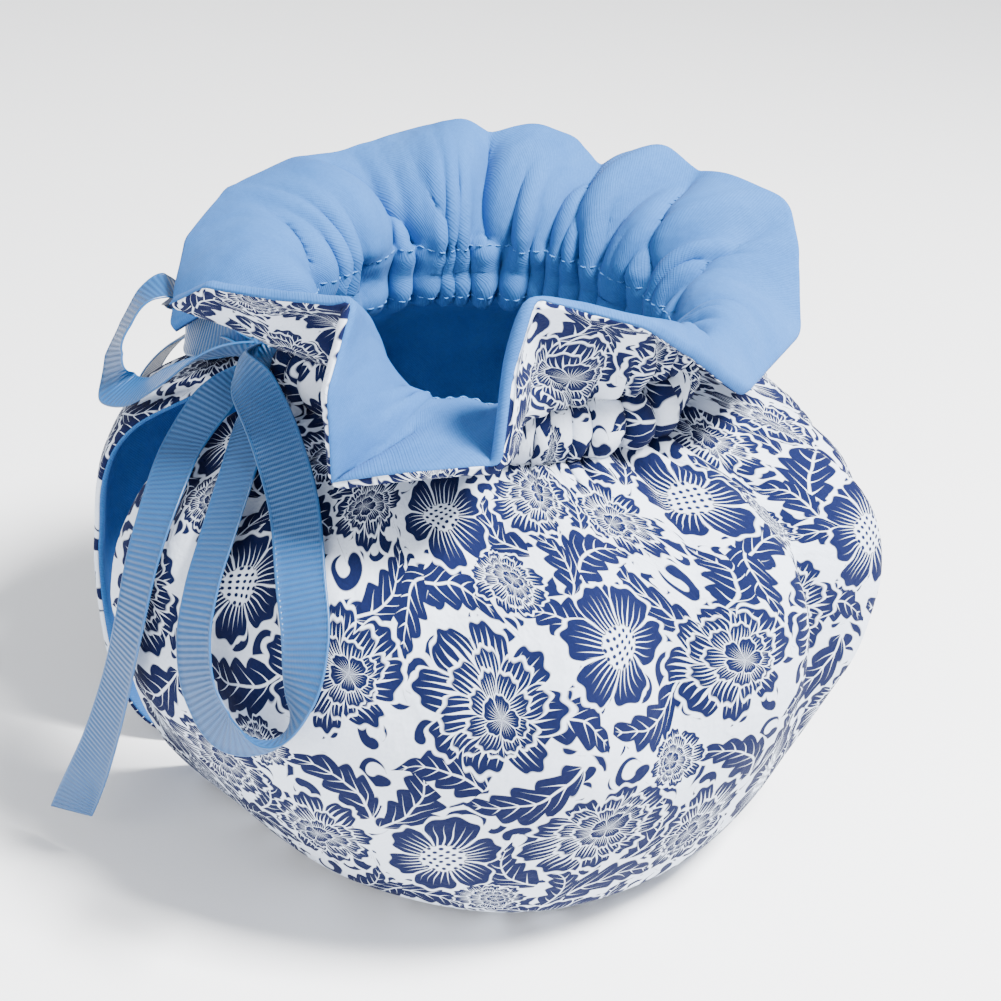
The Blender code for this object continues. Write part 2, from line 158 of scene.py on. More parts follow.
COLLAR_FOLDS = [
    # angle at the edge, depth, half width along the edge
    (126.0, 3.0, 9.0),
    (108.0, -3.0, 5.0),
    (92.0, 2.4, 7.0),
    (79.0, -4.0, 4.0),
    (66.0, 2.4, 6.0),
    (53.0, -3.4, 4.5),
    (40.0, 2.4, 6.0),
    (30.0, -2.4, 5.0),
    (14.0, 2.0, 7.0),
    (-52.0, -2.0, 6.0),
    (-80.0, -2.0, 5.0),
    (-152.0, -2.0, 6.0),
]
NECK_LEAN_ANGLE = -110.0
NECK_LEAN_RADIUS = 3.0
NECK_LEAN_DROP = 2.0
NECK_POINT = 4.0
NECK_POINT_WIDTH = 25.0
NECK_START = 86.0
NECK_HEIGHT = 98.0
# From this height up, the columns turn towards the places that they have on the collar's edge
ROOT_TURN_HEIGHT = 74.0
ROOT_TURN = 0.5
ROOT_HELD_ENDS = 8
FAR_SLIT_LOW = 42.0
FAR_SLIT_HIGH = 86.0
FAR_SLIT_HALF_WIDTH = 14.0
FAR_SLIT_SPREAD = 30.0
FAR_SLIT_ROUNDING = 0.7

# Detail that only the looks have
COLUMN_STEP = 1.28
TIED_STEP = 1.2
FAR_STEP = 0.6
ROW_STEP = 2.4
FIRST_STEP = 1.5
SHOULDER_ROW_STEP = 1.6
FINE_ROW_STEP = 1.1
COLLAR_FOOT = 0.3
COLLAR_FOOT_STEP = 0.03
COLLAR_STEP = 0.05
EDGE_STEPS = np.array((0.0, 0.08, 0.3, 0.65, 1.1, 1.7))
EDGE_ROUND = 1.5
COLLAR_END_SPEED = 3.0 * COLLAR_EDGE_PULL * COLLAR_WIDTH
# Unevenness of the gathers: waves round the neck, share, start
GATHER_DRIFT = [(3.0, 0.0075, 1.0), (8.0, 0.0050, 2.1), (13.0, 0.0030, 0.4), (21.0, 0.0013, 3.0)]
GATHER_STRENGTH = [(5.0, 0.28, 0.7), (11.0, 0.26, 2.0), (17.0, 0.22, 4.4)]
GATHER_SKEW = [(9.0, 1.1, 1.0), (16.0, 0.9, 3.1), (25.0, 0.6, 5.0)]
SKEW_LIMITS = (-0.8, 1.4)
# Lean of the trough's right wall: edge angle, half width in degrees, turn, share of the collar
WALL_LEAN = (-98.8, 3.4, -13.0, 0.35)
WALL_FADE = 0.55
# The trough at the front, as angles of the collar's edge
TROUGH_LEFT = (-138.0, -129.0)
TROUGH_RIGHT = (-101.0, -92.0)
TROUGH_CALM = 0.7
SEAM_ROLL_LEFT = (-135.0, -129.0)
SEAM_ROLL_RIGHT = (-100.0, -93.0)
SEAM_TO_PRINT = 0.75
SEAM_TO_LINING = 0.85
# Thickness between the two faces of the cloth
STITCH_HALF_WIDTH = 1.0
STITCH_PINCH = 0.45
COLLAR_PADDING = 0.35
PADDING_FULL = 0.2
LEAST_THICK = 0.35
LAYER_GAP = 0.06
CASING_PUFF = 0.9
# Depth of the gathers, and their least and further reach down the body
GATHER_DEPTH = 1.05
GATHER_LENGTH = (7.0, 20.0)
GATHER_SLOW = [(7.0, 0.5, 1.3)]
GATHER_QUICK = [(19.0, 0.4, 0.0)]
COLLAR_GATHER_LENGTH = (8.0, 0.35)
# A gather's face stands off its middle where it bulges, and sinks where it doesn't
BULGE_ROUNDING = 0.8
BULGE_HEIGHT = 1.1
BULGE_SINK = 0.7
# Half widths at which the far slit counts as closed and as fully open
CLOSED_SLIT = 0.25
OPEN_SLIT = 1.5
# Soft unevenness of the cloth
RIPPLES = [
    # seed, pitch, height, rows where it starts and is full, share lost at the collar's edge
    (3, 46.0, 0.7, 20.0, 60.0, 0.7),
    (11, 15.0, 0.22, 50.0, 90.0, 0.5),
]
FOLD_AT_CASING = 0.2
# Creases of the collar that are too sharp for the solids, as valleys on the lining's side
CREASE_SHARPNESS = 1.1
CREASE_BOW = 0.7
CREASE_STARTS = (-0.02, 0.22)
CREASE_FADE = 0.45
CREASES = [
    # angle at the casing, angle at the edge, depth, half width, shares of the collar where it starts, ends
    (150.0, 138.0, 2.61, 2.6, 0.0, 0.75),
    (131.0, 126.0, 1.16, 2.0, 0.0, 0.4),
    (100.0, 119.0, 3.77, 2.8, -0.2, 1.0),
    (90.0, 104.0, 1.885, 1.8, -0.2, 0.5),
    (75.0, 80.5, 4.06, 2.6, -0.2, 1.1),
    (66.5, 66.0, 2.9, 1.9, -0.2, 0.6),
    (57.0, 58.0, 1.305, 1.5, 0.0, 0.4),
    (39.0, 53.0, 3.77, 2.6, -0.2, 1.1),
    (31.0, 41.0, 1.74, 1.8, 0.0, 0.6),
    (22.0, 22.0, 1.16, 1.6, 0.0, 0.4),
    (3.0, 31.0, 3.77, 2.8, -0.2, 1.1),
    (-15.0, 7.0, 2.9, 2.8, -0.2, 1.0),
    (-30.0, -20.0, 1.74, 2.4, 0.0, 0.7),
    (-58.0, -52.0, 2.03, 2.6, 0.0, 0.8),
    (-74.0, -80.0, 2.03, 2.2, 0.0, 0.6),
    (-108.0, -102.5, 2.175, 2.2, 0.3, 1.1),
    (-121.0, -126.5, 2.32, 2.4, 0.3, 1.1),
    (-140.0, -152.0, 2.03, 2.4, 0.0, 0.8),
    (-158.0, -163.0, 1.74, 2.2, 0.0, 0.6),
]
# Narrow folds and wrinkles of the body that are too slight for the solids
BODY_CREASE_SHARPNESS = 1.5
BODY_CREASE_STARTS = (-14.0, 16.0)
BODY_CREASE_FADE = 12.0
BODY_CREASES = [
    # angle at the neck, angle at the low end, depth, half width, height at the low and the high end
    (-62.0, -76.0, 2.86, 4.0, 52.0, 102.0),
    (-86.0, -91.0, -1.95, 5.0, 60.0, 98.0),
    (-97.0, -112.0, 1.82, 3.5, 66.0, 100.0),
    (-52.0, -50.0, -2.08, 4.0, 48.0, 98.0),
    (-39.0, -46.0, 3.12, 3.6, 40.0, 99.0),
    (-24.0, -33.0, -2.34, 4.5, 30.0, 96.0),
    (-14.0, -16.0, 2.86, 4.5, 34.0, 94.0),
    (4.0, 2.0, 2.08, 4.0, 60.0, 98.0),
    (-124.0, -136.0, -1.95, 5.0, 46.0, 96.0),
    (-146.0, -150.0, 2.34, 4.0, 50.0, 98.0),
    (-160.0, -168.0, 2.08, 4.0, 30.0, 96.0),
    (24.0, 20.0, -2.08, 4.0, 56.0, 98.0),
    (48.0, 52.0, 2.34, 4.0, 48.0, 98.0),
    (74.0, 70.0, -1.95, 4.0, 52.0, 98.0),
    (98.0, 102.0, 2.34, 4.0, 44.0, 98.0),
    (126.0, 132.0, -1.95, 4.0, 50.0, 98.0),
    (146.0, 150.0, 2.08, 4.0, 48.0, 96.0),
]


def through(x, knots, values):
    """A smooth curve through the points (knots, values), knots rising, read at x: cubic pieces whose
    slopes at the knots are those of the polyline."""
    knots = np.asarray(knots, float)
    values = np.asarray(values, float)
    slopes = np.gradient(values, knots)
    x = np.clip(x, knots[0], knots[-1])
    i = np.clip(np.searchsorted(knots, x, side="right") - 1, 0, len(knots) - 2)
    h = knots[i + 1] - knots[i]
    t = (x - knots[i]) / h
    return (
        values[i] * (1 + 2 * t) * (1 - t) ** 2
        + slopes[i] * h * t * (1 - t) ** 2
        + values[i + 1] * t * t * (3 - 2 * t)
        + slopes[i + 1] * h * t * t * (t - 1)
    )


def eased(x, low, high):
    """0 up to low, 1 from high, and a smooth step between them."""
    t = np.clip((x - low) / (high - low), 0.0, 1.0)
    return t * t * (3 - 2 * t)


def unit(v):
    """Directions brought to length 1."""
    return v / np.maximum(np.linalg.norm(v, axis=-1, keepdims=True), 1e-12)


def run_length(points, axis):
    """Length run along the grid from its first row or column."""
    step = np.linalg.norm(np.diff(points, axis=axis), axis=-1)
    start = np.zeros_like(np.take(step, [0], axis=axis))
    return np.concatenate([start, np.cumsum(step, axis=axis)], axis=axis)


def rim_at(u):
    """Angle, place and lift of the collar's edge at the shares u of the cloth's length: RIM's polyline,
    averaged over a short run so that its corners are rounded."""
    angle, radius, height, lift = np.array(RIM).T
    a = np.radians(angle)
    corners = np.stack([radius * np.cos(a), radius * np.sin(a), height], axis=1)
    run = np.concatenate([[0.0], np.cumsum(np.linalg.norm(np.diff(corners, axis=0), axis=1))])
    length = run[-1]
    point = np.zeros((len(u), 3))
    rise = np.zeros(len(u))
    turn = np.zeros(len(u))
    held = np.minimum(1.0, RIM_HELD_ENDS * np.minimum(u, 1.0 - u))
    shifts = np.linspace(-RIM_SOFTENING, RIM_SOFTENING, RIM_SAMPLES)
    for shift in shifts:
        s = np.clip(u * length + shift * held, 0.0, length)
        point += np.stack([np.interp(s, run, corners[:, k]) for k in range(3)], axis=1) / len(shifts)
        rise += np.interp(s, run, lift) / len(shifts)
        turn += np.interp(s, run, angle) / len(shifts)
    return turn, point, rise


def body_angle(u, height):
    """Angle round the body of the share u: even from one edge of the tied slit round to the other."""
    half = np.interp(height, [row[0] for row in SLIT], [row[1] for row in SLIT])
    return (1.0 - 2.0 * u) * (180.0 - half)


def plan_offset(angle, height):
    """How far the body stands out from a turned one: PLAN's three curves of the angle, each over its own
    heights."""
    table = np.array(PLAN)[::-1]
    low, middle, shoulder = (through(angle, table[:, 0], table[:, k]) for k in (1, 2, 3))
    return (
        low * (1.0 - eased(height, *LOW_ENDS))
        + middle * eased(height, *MIDDLE_STARTS) * (1.0 - eased(height, *MIDDLE_ENDS))
        + shoulder * eased(height, *SHOULDER_STARTS) * (1.0 - eased(height, *SHOULDER_ENDS))
    )


def fold_offset(angle, height):
    """Outward shift of the body's soft folds: bell curves of the angle along lines down the body."""
    total = np.zeros_like(angle)
    for top, hip, depth, half_width, lowest in BODY_FOLDS:
        middle = hip + (top - hip) * eased(height, *FOLD_TURNS)
        reach = eased(height, lowest, lowest + FOLD_FADE) * (1.0 - eased(height, *FOLD_ENDS))
        total += depth * reach * np.exp(-(((angle - middle) / half_width) ** 2))
    return total


def neck_offset(angle, height):
    """Outward shift at the neck: a sideways lean of the whole ring, and a point at the tied slit."""
    share = eased(height, NECK_START, NECK_HEIGHT)
    lean = NECK_LEAN_RADIUS * np.cos(np.radians(angle - NECK_LEAN_ANGLE))
    past = 180.0 - np.abs(angle)
    return share * (lean + NECK_POINT * np.exp(-((past / NECK_POINT_WIDTH) ** 2)))


def far_slit_width(height):
    """Half width of the far slit at a height: a power of half a sine wave, nothing below and above."""
    rise = np.clip((height - FAR_SLIT_LOW) / (FAR_SLIT_HIGH - FAR_SLIT_LOW), 0.0, 1.0)
    return FAR_SLIT_HALF_WIDTH * np.maximum(np.sin(math.pi * rise), 0.0) ** FAR_SLIT_ROUNDING


def body_part(u, side, edge_angle):
    """The cloth's middle from the hem to the upper stitching: the section's radius and height along its
    run, turned by the angle of u, with the plan, the folds, the neck and the far slit added."""
    radius = through(body_s, section_run, section_points[:, 0])[:, None]
    z = np.maximum(through(body_s, section_run, section_points[:, 1]), HALF_THICK)[:, None]
    z = np.where(body_s[:, None] <= run_at["edge of the flat"], HALF_THICK, z)
    angle = body_angle(u, z)
    share = ROOT_TURN * (1.0 - (2.0 * u - 1.0) ** ROOT_HELD_ENDS)
    root = body_angle(u, NECK_HEIGHT) * (1.0 - share) + edge_angle * share
    angle = angle + (root - angle) * eased(z, ROOT_TURN_HEIGHT, NECK_HEIGHT)
    r = radius + plan_offset(angle, z) + fold_offset(angle, z) + neck_offset(angle, z)
    drop = NECK_LEAN_DROP * np.cos(np.radians(angle - NECK_LEAN_ANGLE))
    z = z - drop * eased(z, NECK_START, NECK_HEIGHT)
    away = np.abs(np.radians(angle)) * r
    angle = angle + side * np.degrees(far_slit_width(z) * np.exp(-away / FAR_SLIT_SPREAD) / r)
    a = np.radians(angle)
    return np.stack([r * np.cos(a), r * np.sin(a), z], axis=-1)


def collar_part(root, edge, lift):
    """The collar's middle: each section is a cubic Bezier curve from the casing, which it leaves upwards
    as far as lift says, out to the edge."""
    out = unit(root * (1.0, 1.0, 0.0))
    up = np.array([0.0, 0.0, 1.0])
    start = unit(lift[:, None] * up + (COLLAR_OUTWARD - lift[:, None]) * out)
    first = root + COLLAR_START_PULL * COLLAR_WIDTH * start
    second = edge - COLLAR_EDGE_PULL * COLLAR_WIDTH * unit(edge - first)
    t = collar_t[:, None, None]
    near = (1 - t) ** 3 * root + 3 * t * (1 - t) ** 2 * first
    return near + 3 * t * t * (1 - t) * second + t**3 * edge


def split(start, end, step):
    """Even steps of about the given size from start up to end, without end."""
    return np.linspace(start, end, max(1, int(round((end - start) / step))) + 1)[:-1]


# Rows of the grid: s runs along the body's section and t along the collar
section_points = np.array([row[1:] for row in SECTION])
section_run = np.concatenate([[0.0], np.cumsum(np.linalg.norm(np.diff(section_points, axis=0), axis=1))])
run_at = dict(zip([row[0] for row in SECTION], section_run))
lower_stitch, upper_stitch = run_at["lower stitching"], run_at["upper stitching"]
body_s = np.concatenate([
    EDGE_STEPS,
    split(EDGE_STEPS[-1] + FIRST_STEP, run_at["high shoulder"], ROW_STEP),
    split(run_at["high shoulder"], run_at["under the casing"], SHOULDER_ROW_STEP),
    split(run_at["under the casing"], upper_stitch, FINE_ROW_STEP),
    [upper_stitch],
])
edge_t = 1.0 - EDGE_STEPS[::-1] / COLLAR_END_SPEED
collar_t = np.concatenate([
    split(COLLAR_FOOT_STEP, COLLAR_FOOT, COLLAR_FOOT_STEP),
    split(COLLAR_FOOT, edge_t[0] - COLLAR_FOOT_STEP, COLLAR_STEP),
    edge_t,
])

# Every row's place along the body and along the collar
row_s = np.concatenate([body_s, np.full(len(collar_t), upper_stitch)])
row_t = np.concatenate([np.zeros(len(body_s)), collar_t])
is_collar = (row_t > 0.0)[:, None]

# Columns of the two halves, closer together at the slits' edges
edge_u = EDGE_STEPS / FLAT_LENGTH
inner_start, inner_end = edge_u[-1] + TIED_STEP / FLAT_LENGTH, 0.5 - edge_u[-1] - FAR_STEP / FLAT_LENGTH
inner_u = split(inner_start, inner_end, COLUMN_STEP / FLAT_LENGTH)
half_u = np.concatenate([edge_u, inner_u, 0.5 - edge_u[::-1]])
HALVES = ((half_u, 1.0), (1.0 - half_u[::-1], -1.0))


def waves_round(u, table):
    """Sum of the table's sine waves along the cloth: how many there are of each, its size and start."""
    return sum(size * np.sin(2.0 * math.pi * count * u + start) for count, size, start in table)


def gather_phase(u):
    """Phase of the gathers round the neck, drifting so that no two are as wide as each other."""
    return 2.0 * math.pi * GATHERS * (u + waves_round(u, GATHER_DRIFT))


def gather_strength(u, edge_angle):
    """How deep each gather is: uneven round the neck, and slight under the smooth trough."""
    trough = eased(edge_angle, *TROUGH_LEFT) * (1.0 - eased(edge_angle, *TROUGH_RIGHT))
    return (1.0 + waves_round(u, GATHER_STRENGTH)) * (1.0 - TROUGH_CALM * trough)


def gather_skew(u):
    """How far each gather slants from the lower stitches to the upper ones, as a change of its phase."""
    share = np.clip((row_s - lower_stitch) / (upper_stitch - lower_stitch), *SKEW_LIMITS)[:, None]
    return share * waves_round(u, GATHER_SKEW)


def gather_reach(u):
    """Depth of the gathers: full in the casing, dying away below it over a length that differs from
    gather to gather, and above it over the first part of the collar."""
    least, more = GATHER_LENGTH
    length = least + more * (0.5 + waves_round(u, GATHER_SLOW)) * (0.6 + waves_round(u, GATHER_QUICK))
    below = np.maximum(lower_stitch - row_s, 0.0)[:, None]
    above = (row_t * COLLAR_WIDTH)[:, None]
    least, share = COLLAR_GATHER_LENGTH
    return np.exp(-below / length) * np.exp(-above / (least + share * length))


def ripple(x, y, seed, scale, count=7):
    """Soft unevenness of handled cloth: the mean of plane waves of random direction, start and length."""
    rng = np.random.default_rng(seed)
    total = np.zeros(np.broadcast(x, y).shape)
    for _ in range(count):
        direction, start = rng.uniform(0.0, 2.0 * math.pi, 2)
        k = 2.0 * math.pi / (scale * rng.uniform(0.6, 1.8))
        total = total + np.sin(k * (x * math.cos(direction) + y * math.sin(direction)) + start)
    return total / count


def section_normals(grid):
    """Outward direction square to each section: along the section, crossed with the way round."""
    along = np.gradient(grid, axis=0)
    radius = np.linalg.norm(grid[..., :2], axis=-1)
    back_round = np.stack([grid[..., 1], -grid[..., 0], np.zeros_like(radius)], axis=-1)
    return unit(np.cross(along, back_round / radius[..., None]))


def leaned_wall(collar, edge_angle):
    """The collar with the trough's right wall turned about the neck's axis, so that its lining shows."""
    middle, half_width, lean, share = WALL_LEAN
    turn = np.radians(lean) * np.exp(-(((edge_angle - middle) / half_width) ** 2))
    turn = turn * (eased(collar_t, 0.0, share) * (1.0 - collar_t) ** WALL_FADE)[:, None]
    x, y, z = np.moveaxis(collar, -1, 0)
    cos, sin = np.cos(turn), np.sin(turn)
    return np.stack([x * cos - y * sin, x * sin + y * cos, z], axis=-1)


def collar_relief(edge_angle):
    """Outward shift of the collar's folds, which are bell curves across their lines, and of its creases,
    whose curves come to a sharper top."""
    t = row_t[:, None]
    shift = np.zeros((len(row_t), len(edge_angle)))
    for middle, depth, half_width in COLLAR_FOLDS:
        away = np.radians(edge_angle - middle) * COLLAR_RADIUS
        swell = np.sin(math.pi * (FOLD_AT_CASING + (1.0 - FOLD_AT_CASING) * t))
        shift -= depth * np.exp(-((away / half_width) ** 2)) * swell
    for root_angle, middle, depth, half_width, start, end in CREASES:
        bowed = root_angle + (middle - root_angle) * t**CREASE_BOW
        away = np.abs(np.radians(edge_angle - bowed) * COLLAR_RADIUS)
        early, late = CREASE_STARTS
        swell = eased(t, start + early, start + late) * (1.0 - eased(t, end - CREASE_FADE, end))
        shift += depth * np.exp(-((away / half_width) ** CREASE_SHARPNESS)) * swell
    return shift * is_collar


def body_relief(grid):
    """Outward shift of the body's narrow folds, each along a line from the neck down to its low end."""
    height = grid[..., 2]
    angle = np.degrees(np.arctan2(grid[..., 1], grid[..., 0]))
    shift = np.zeros(height.shape)
    for neck_angle, low_angle, depth, half_width, low, high in BODY_CREASES:
        middle = low_angle + (neck_angle - low_angle) * eased(height, low, high)
        away = np.abs((angle - middle + 180.0) % 360.0 - 180.0)
        early, late = BODY_CREASE_STARTS
        swell = eased(height, low + early, low + late)
        swell = swell * (1.0 - eased(height, high - BODY_CREASE_FADE, high))
        shift -= depth * np.exp(-((away / half_width) ** BODY_CREASE_SHARPNESS)) * swell
    return shift * (1.0 - is_collar)


def middle_half(u, side):
    """The cloth's middle surface in one half, shifted along its sections' normals by folds, creases,
    ripples and the gathers' cosine wave. Also returns how far each face stands off it: outside where a
    gather bulges outwards, inside where it bulges inwards, and both between the stitch rows."""
    edge_angle, edge, lift = rim_at(u)
    body = body_part(u, side, edge_angle)
    collar = leaned_wall(collar_part(body[-1], edge, lift), edge_angle)
    grid = np.concatenate([body, collar])
    phase, strength = gather_phase(u) + gather_skew(u), gather_strength(u, edge_angle)
    reach = gather_reach(u) * strength
    relief = collar_relief(edge_angle) + body_relief(grid) + GATHER_DEPTH * reach * np.cos(phase)
    x, y = u * FLAT_LENGTH, (row_s + row_t * COLLAR_WIDTH)[:, None]
    for seed, pitch, height, start, full, lost in RIPPLES:
        rows = eased(row_s, start, full) * (1.0 - lost * row_t)
        relief = relief + height * ripple(x, y, seed, pitch) * rows[:, None]
    grid = grid + relief[..., None] * section_normals(grid)
    casing = np.clip((row_s - lower_stitch) / (upper_stitch - lower_stitch), 0.0, 1.0)[:, None]
    puff = CASING_PUFF * np.sin(math.pi * casing) * (1.0 - is_collar) * strength
    outwards, inwards = np.abs(np.cos(0.5 * phase)), np.abs(np.sin(0.5 * phase))
    outside, inside = (
        reach * (BULGE_HEIGHT * bulge**BULGE_ROUNDING - BULGE_SINK) + puff for bulge in (outwards, inwards)
    )
    return grid, outside, inside


def edge_share(distance):
    """0 at an edge and 1 beyond the rounding: the profile of a quarter circle."""
    d = np.clip(distance / EDGE_ROUND, 0.0, 1.0)
    return np.sqrt(1.0 - (1.0 - d) ** 2)


def seam_roll(u, t):
    """How far the seam lies towards the print at the collar's edge: the lining rolls over the edge at the
    back and the front left, and the print rolls in round the trough."""
    angle = rim_at(u)[0]
    trough = eased(angle, *SEAM_ROLL_LEFT) * (1.0 - eased(angle, *SEAM_ROLL_RIGHT))
    return (SEAM_TO_PRINT - (SEAM_TO_PRINT + SEAM_TO_LINING) * trough) * (t > 0.5)


def cloth_faces():
    """The print's face, the lining's face and what lies just inside each, for both halves: the middle
    surface shifted along its normals by half the thickness, which rounds off to nothing at the edges and
    is pinched at the stitches. Also says in which rows the far slit is closed."""
    halves = [middle_half(u, side) for u, side in HALVES]
    normals = []
    for grid, _, _ in halves:
        across, along = np.gradient(grid, axis=1), np.gradient(grid, axis=0)
        normals.append(unit(np.cross(along, across)))
    gap = far_slit_width(halves[0][0][:, -1, 2]) * (row_t <= 0.0)
    closed = gap < CLOSED_SLIT
    shared = unit(normals[0][:, -1] + normals[1][:, 0])
    for k, column in ((0, -1), (1, 0)):
        normals[k][closed, column] = shared[closed]
    parts = {"print": [], "print_back": [], "lining": [], "lining_back": []}
    for k, (grid, outside, inside) in enumerate(halves):
        run = run_length(grid, 1)
        from_tied_slit = run if k == 0 else run[:, -1:] - run
        from_far_slit = run[:, -1:] - run if k == 0 else run
        rows = run_length(grid, 0)
        share = edge_share(from_tied_slit) * edge_share(rows) * edge_share(rows[-1:] - rows)
        opened = np.clip(gap / OPEN_SLIT, 0.0, 1.0)[:, None]
        share = share * (1.0 - opened + opened * edge_share(from_far_slit))
        rows_at = (lower_stitch, upper_stitch)
        low, high = (np.exp(-(((row_s - at) / STITCH_HALF_WIDTH) ** 2)) for at in rows_at)
        stitched = (low + high * np.exp(-row_t * COLLAR_WIDTH))[:, None]
        padding = COLLAR_PADDING * eased(row_t, 0.0, PADDING_FULL)[:, None]
        thick = HALF_THICK * (1.0 - STITCH_PINCH * stitched) + padding
        seam = seam_roll(HALVES[k][0], row_t[:, None]) * (1.0 - share)
        shifts = {
            "print": seam + np.maximum(thick + outside, LEAST_THICK) * share,
            "print_back": seam + LAYER_GAP * share,
            "lining": seam - np.maximum(thick + inside, LEAST_THICK) * share,
            "lining_back": seam - LAYER_GAP * share,
        }
        for part, shift in shifts.items():
            parts[part].append(grid + normals[k] * shift[..., None])
    return parts, closed


def quads(index, flip=False):
    """Faces of a grid of vertex numbers, one for each cell."""
    a, b, c, d = index[:-1, :-1], index[1:, :-1], index[1:, 1:], index[:-1, 1:]
    faces = np.stack([a, b, c, d] if not flip else [d, c, b, a], axis=-1)
    return faces.reshape(-1, 4)


def new_piece(name, points, faces, uv, material, turn_out=True):
    """Puts points, in millimetres about the neck's axis, and faces into a smooth mesh with its UV map, if
    it has one, and links it. turn_out makes all faces of a closed mesh point outwards."""
    mesh = bpy.data.meshes.new(name)
    mesh.from_pydata(((points + CENTRING) * MM).tolist(), [], faces)
    if uv is not None:
        layer = mesh.uv_layers.new(name="UVMap")
        corner = np.empty(len(mesh.loops), np.int32)
        mesh.loops.foreach_get("vertex_index", corner)
        layer.data.foreach_set("uv", (uv[corner] * MM).astype(np.float32).ravel())
    if turn_out:
        builder = bmesh.new()
        builder.from_mesh(mesh)
        bmesh.ops.recalc_face_normals(builder, faces=builder.faces)
        builder.to_mesh(mesh)
        builder.free()
    mesh.shade_smooth()
    mesh.materials.append(material)
    piece = bpy.data.objects.new(name, mesh)
    bpy.context.scene.collection.objects.link(piece)
    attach(piece, "root")
    return piece


def cloth_shell(name, part, flip, material):
    """A closed shell of a cloth's visible face and its back, which share their vertices all round the
    edge. The halves share the column at the far slit where it is closed."""
    face, back = parts[part], parts[part + "_back"]
    rows, cols = face[0].shape[:2]
    number = np.arange(rows * cols).reshape(rows, cols)
    front = [number, number + rows * cols]
    front[1][closed, 0] = front[0][closed, -1]
    behind = [index + 2 * rows * cols for index in front]
    for k in (0, 1):
        tied, far = (0, -1) if k == 0 else (-1, 0)
        behind[k][0], behind[k][-1] = front[k][0], front[k][-1]
        behind[k][:, tied] = front[k][:, tied]
        behind[k][~closed, far] = front[k][~closed, far]
    behind[1][closed, 0] = behind[0][closed, -1]
    beside = closed & (np.roll(~closed, 1) | np.roll(~closed, -1))
    behind[0][beside, -1] = front[0][beside, -1]
    behind[1][beside, 0] = front[1][beside, 0]
    points = np.concatenate([half.reshape(-1, 3) for half in (*face, *back)])
    faces = [quads(index, flip) for index in front] + [quads(index, not flip) for index in behind]
    faces = np.concatenate(faces)
    used, faces = np.unique(faces, return_inverse=True)
    flat = np.concatenate([half.reshape(-1, 2) for half in (*cloth_uv, *cloth_uv)])
    faces = faces.reshape(-1, 4).tolist()
    return new_piece(name, points[used], faces, flat[used], material, turn_out=False)


# Colours, as linear red, green, blue and opacity
COOL_WHITE = (0.74, 0.80, 0.90, 1.0)
SHADED_WHITE = (0.60, 0.67, 0.81, 1.0)
NAVY = (0.007, 0.015, 0.088, 1.0)
DEEP_NAVY = (0.0025, 0.006, 0.04, 1.0)
CORNFLOWER = (0.038, 0.146, 0.40, 1.0)
DEEP_CORNFLOWER = (0.024, 0.112, 0.335, 1.0)
# Ribbon blue, and a darker blue for random patches and for the painted shade in the grooves between the
# ribs
RIBBON_BLUE = (0.0115, 0.09, 0.25, 1.0)
DEEP_AND_SHADED_RIBBON_BLUE = (0.0085, 0.062, 0.19, 1.0)
# Sewing threads' colours, each with a darker one for the painted shade in the grooves between the plies
LIGHT_THREAD_BLUE = (0.10, 0.32, 0.70, 1.0)
SHADED_THREAD_BLUE = (0.03, 0.13, 0.4, 1.0)
LIGHT_THREAD_WHITE = (0.8, 0.84, 0.9, 1.0)
SHADED_THREAD_WHITE = (0.4, 0.45, 0.6, 1.0)
MATT_WHITE = (0.97, 0.97, 0.97, 1.0)
DULL_WHITE = (0.93, 0.93, 0.935, 1.0)
# Finishes and weaves
SHEEN_SPREAD = 0.4
PLAIN_WEAVE_PITCH = 0.42
TWILL_PITCH = 0.75
THREAD_PITCH = 0.5
FIBRE_PITCH = 0.34
PLY_PITCH = 0.45


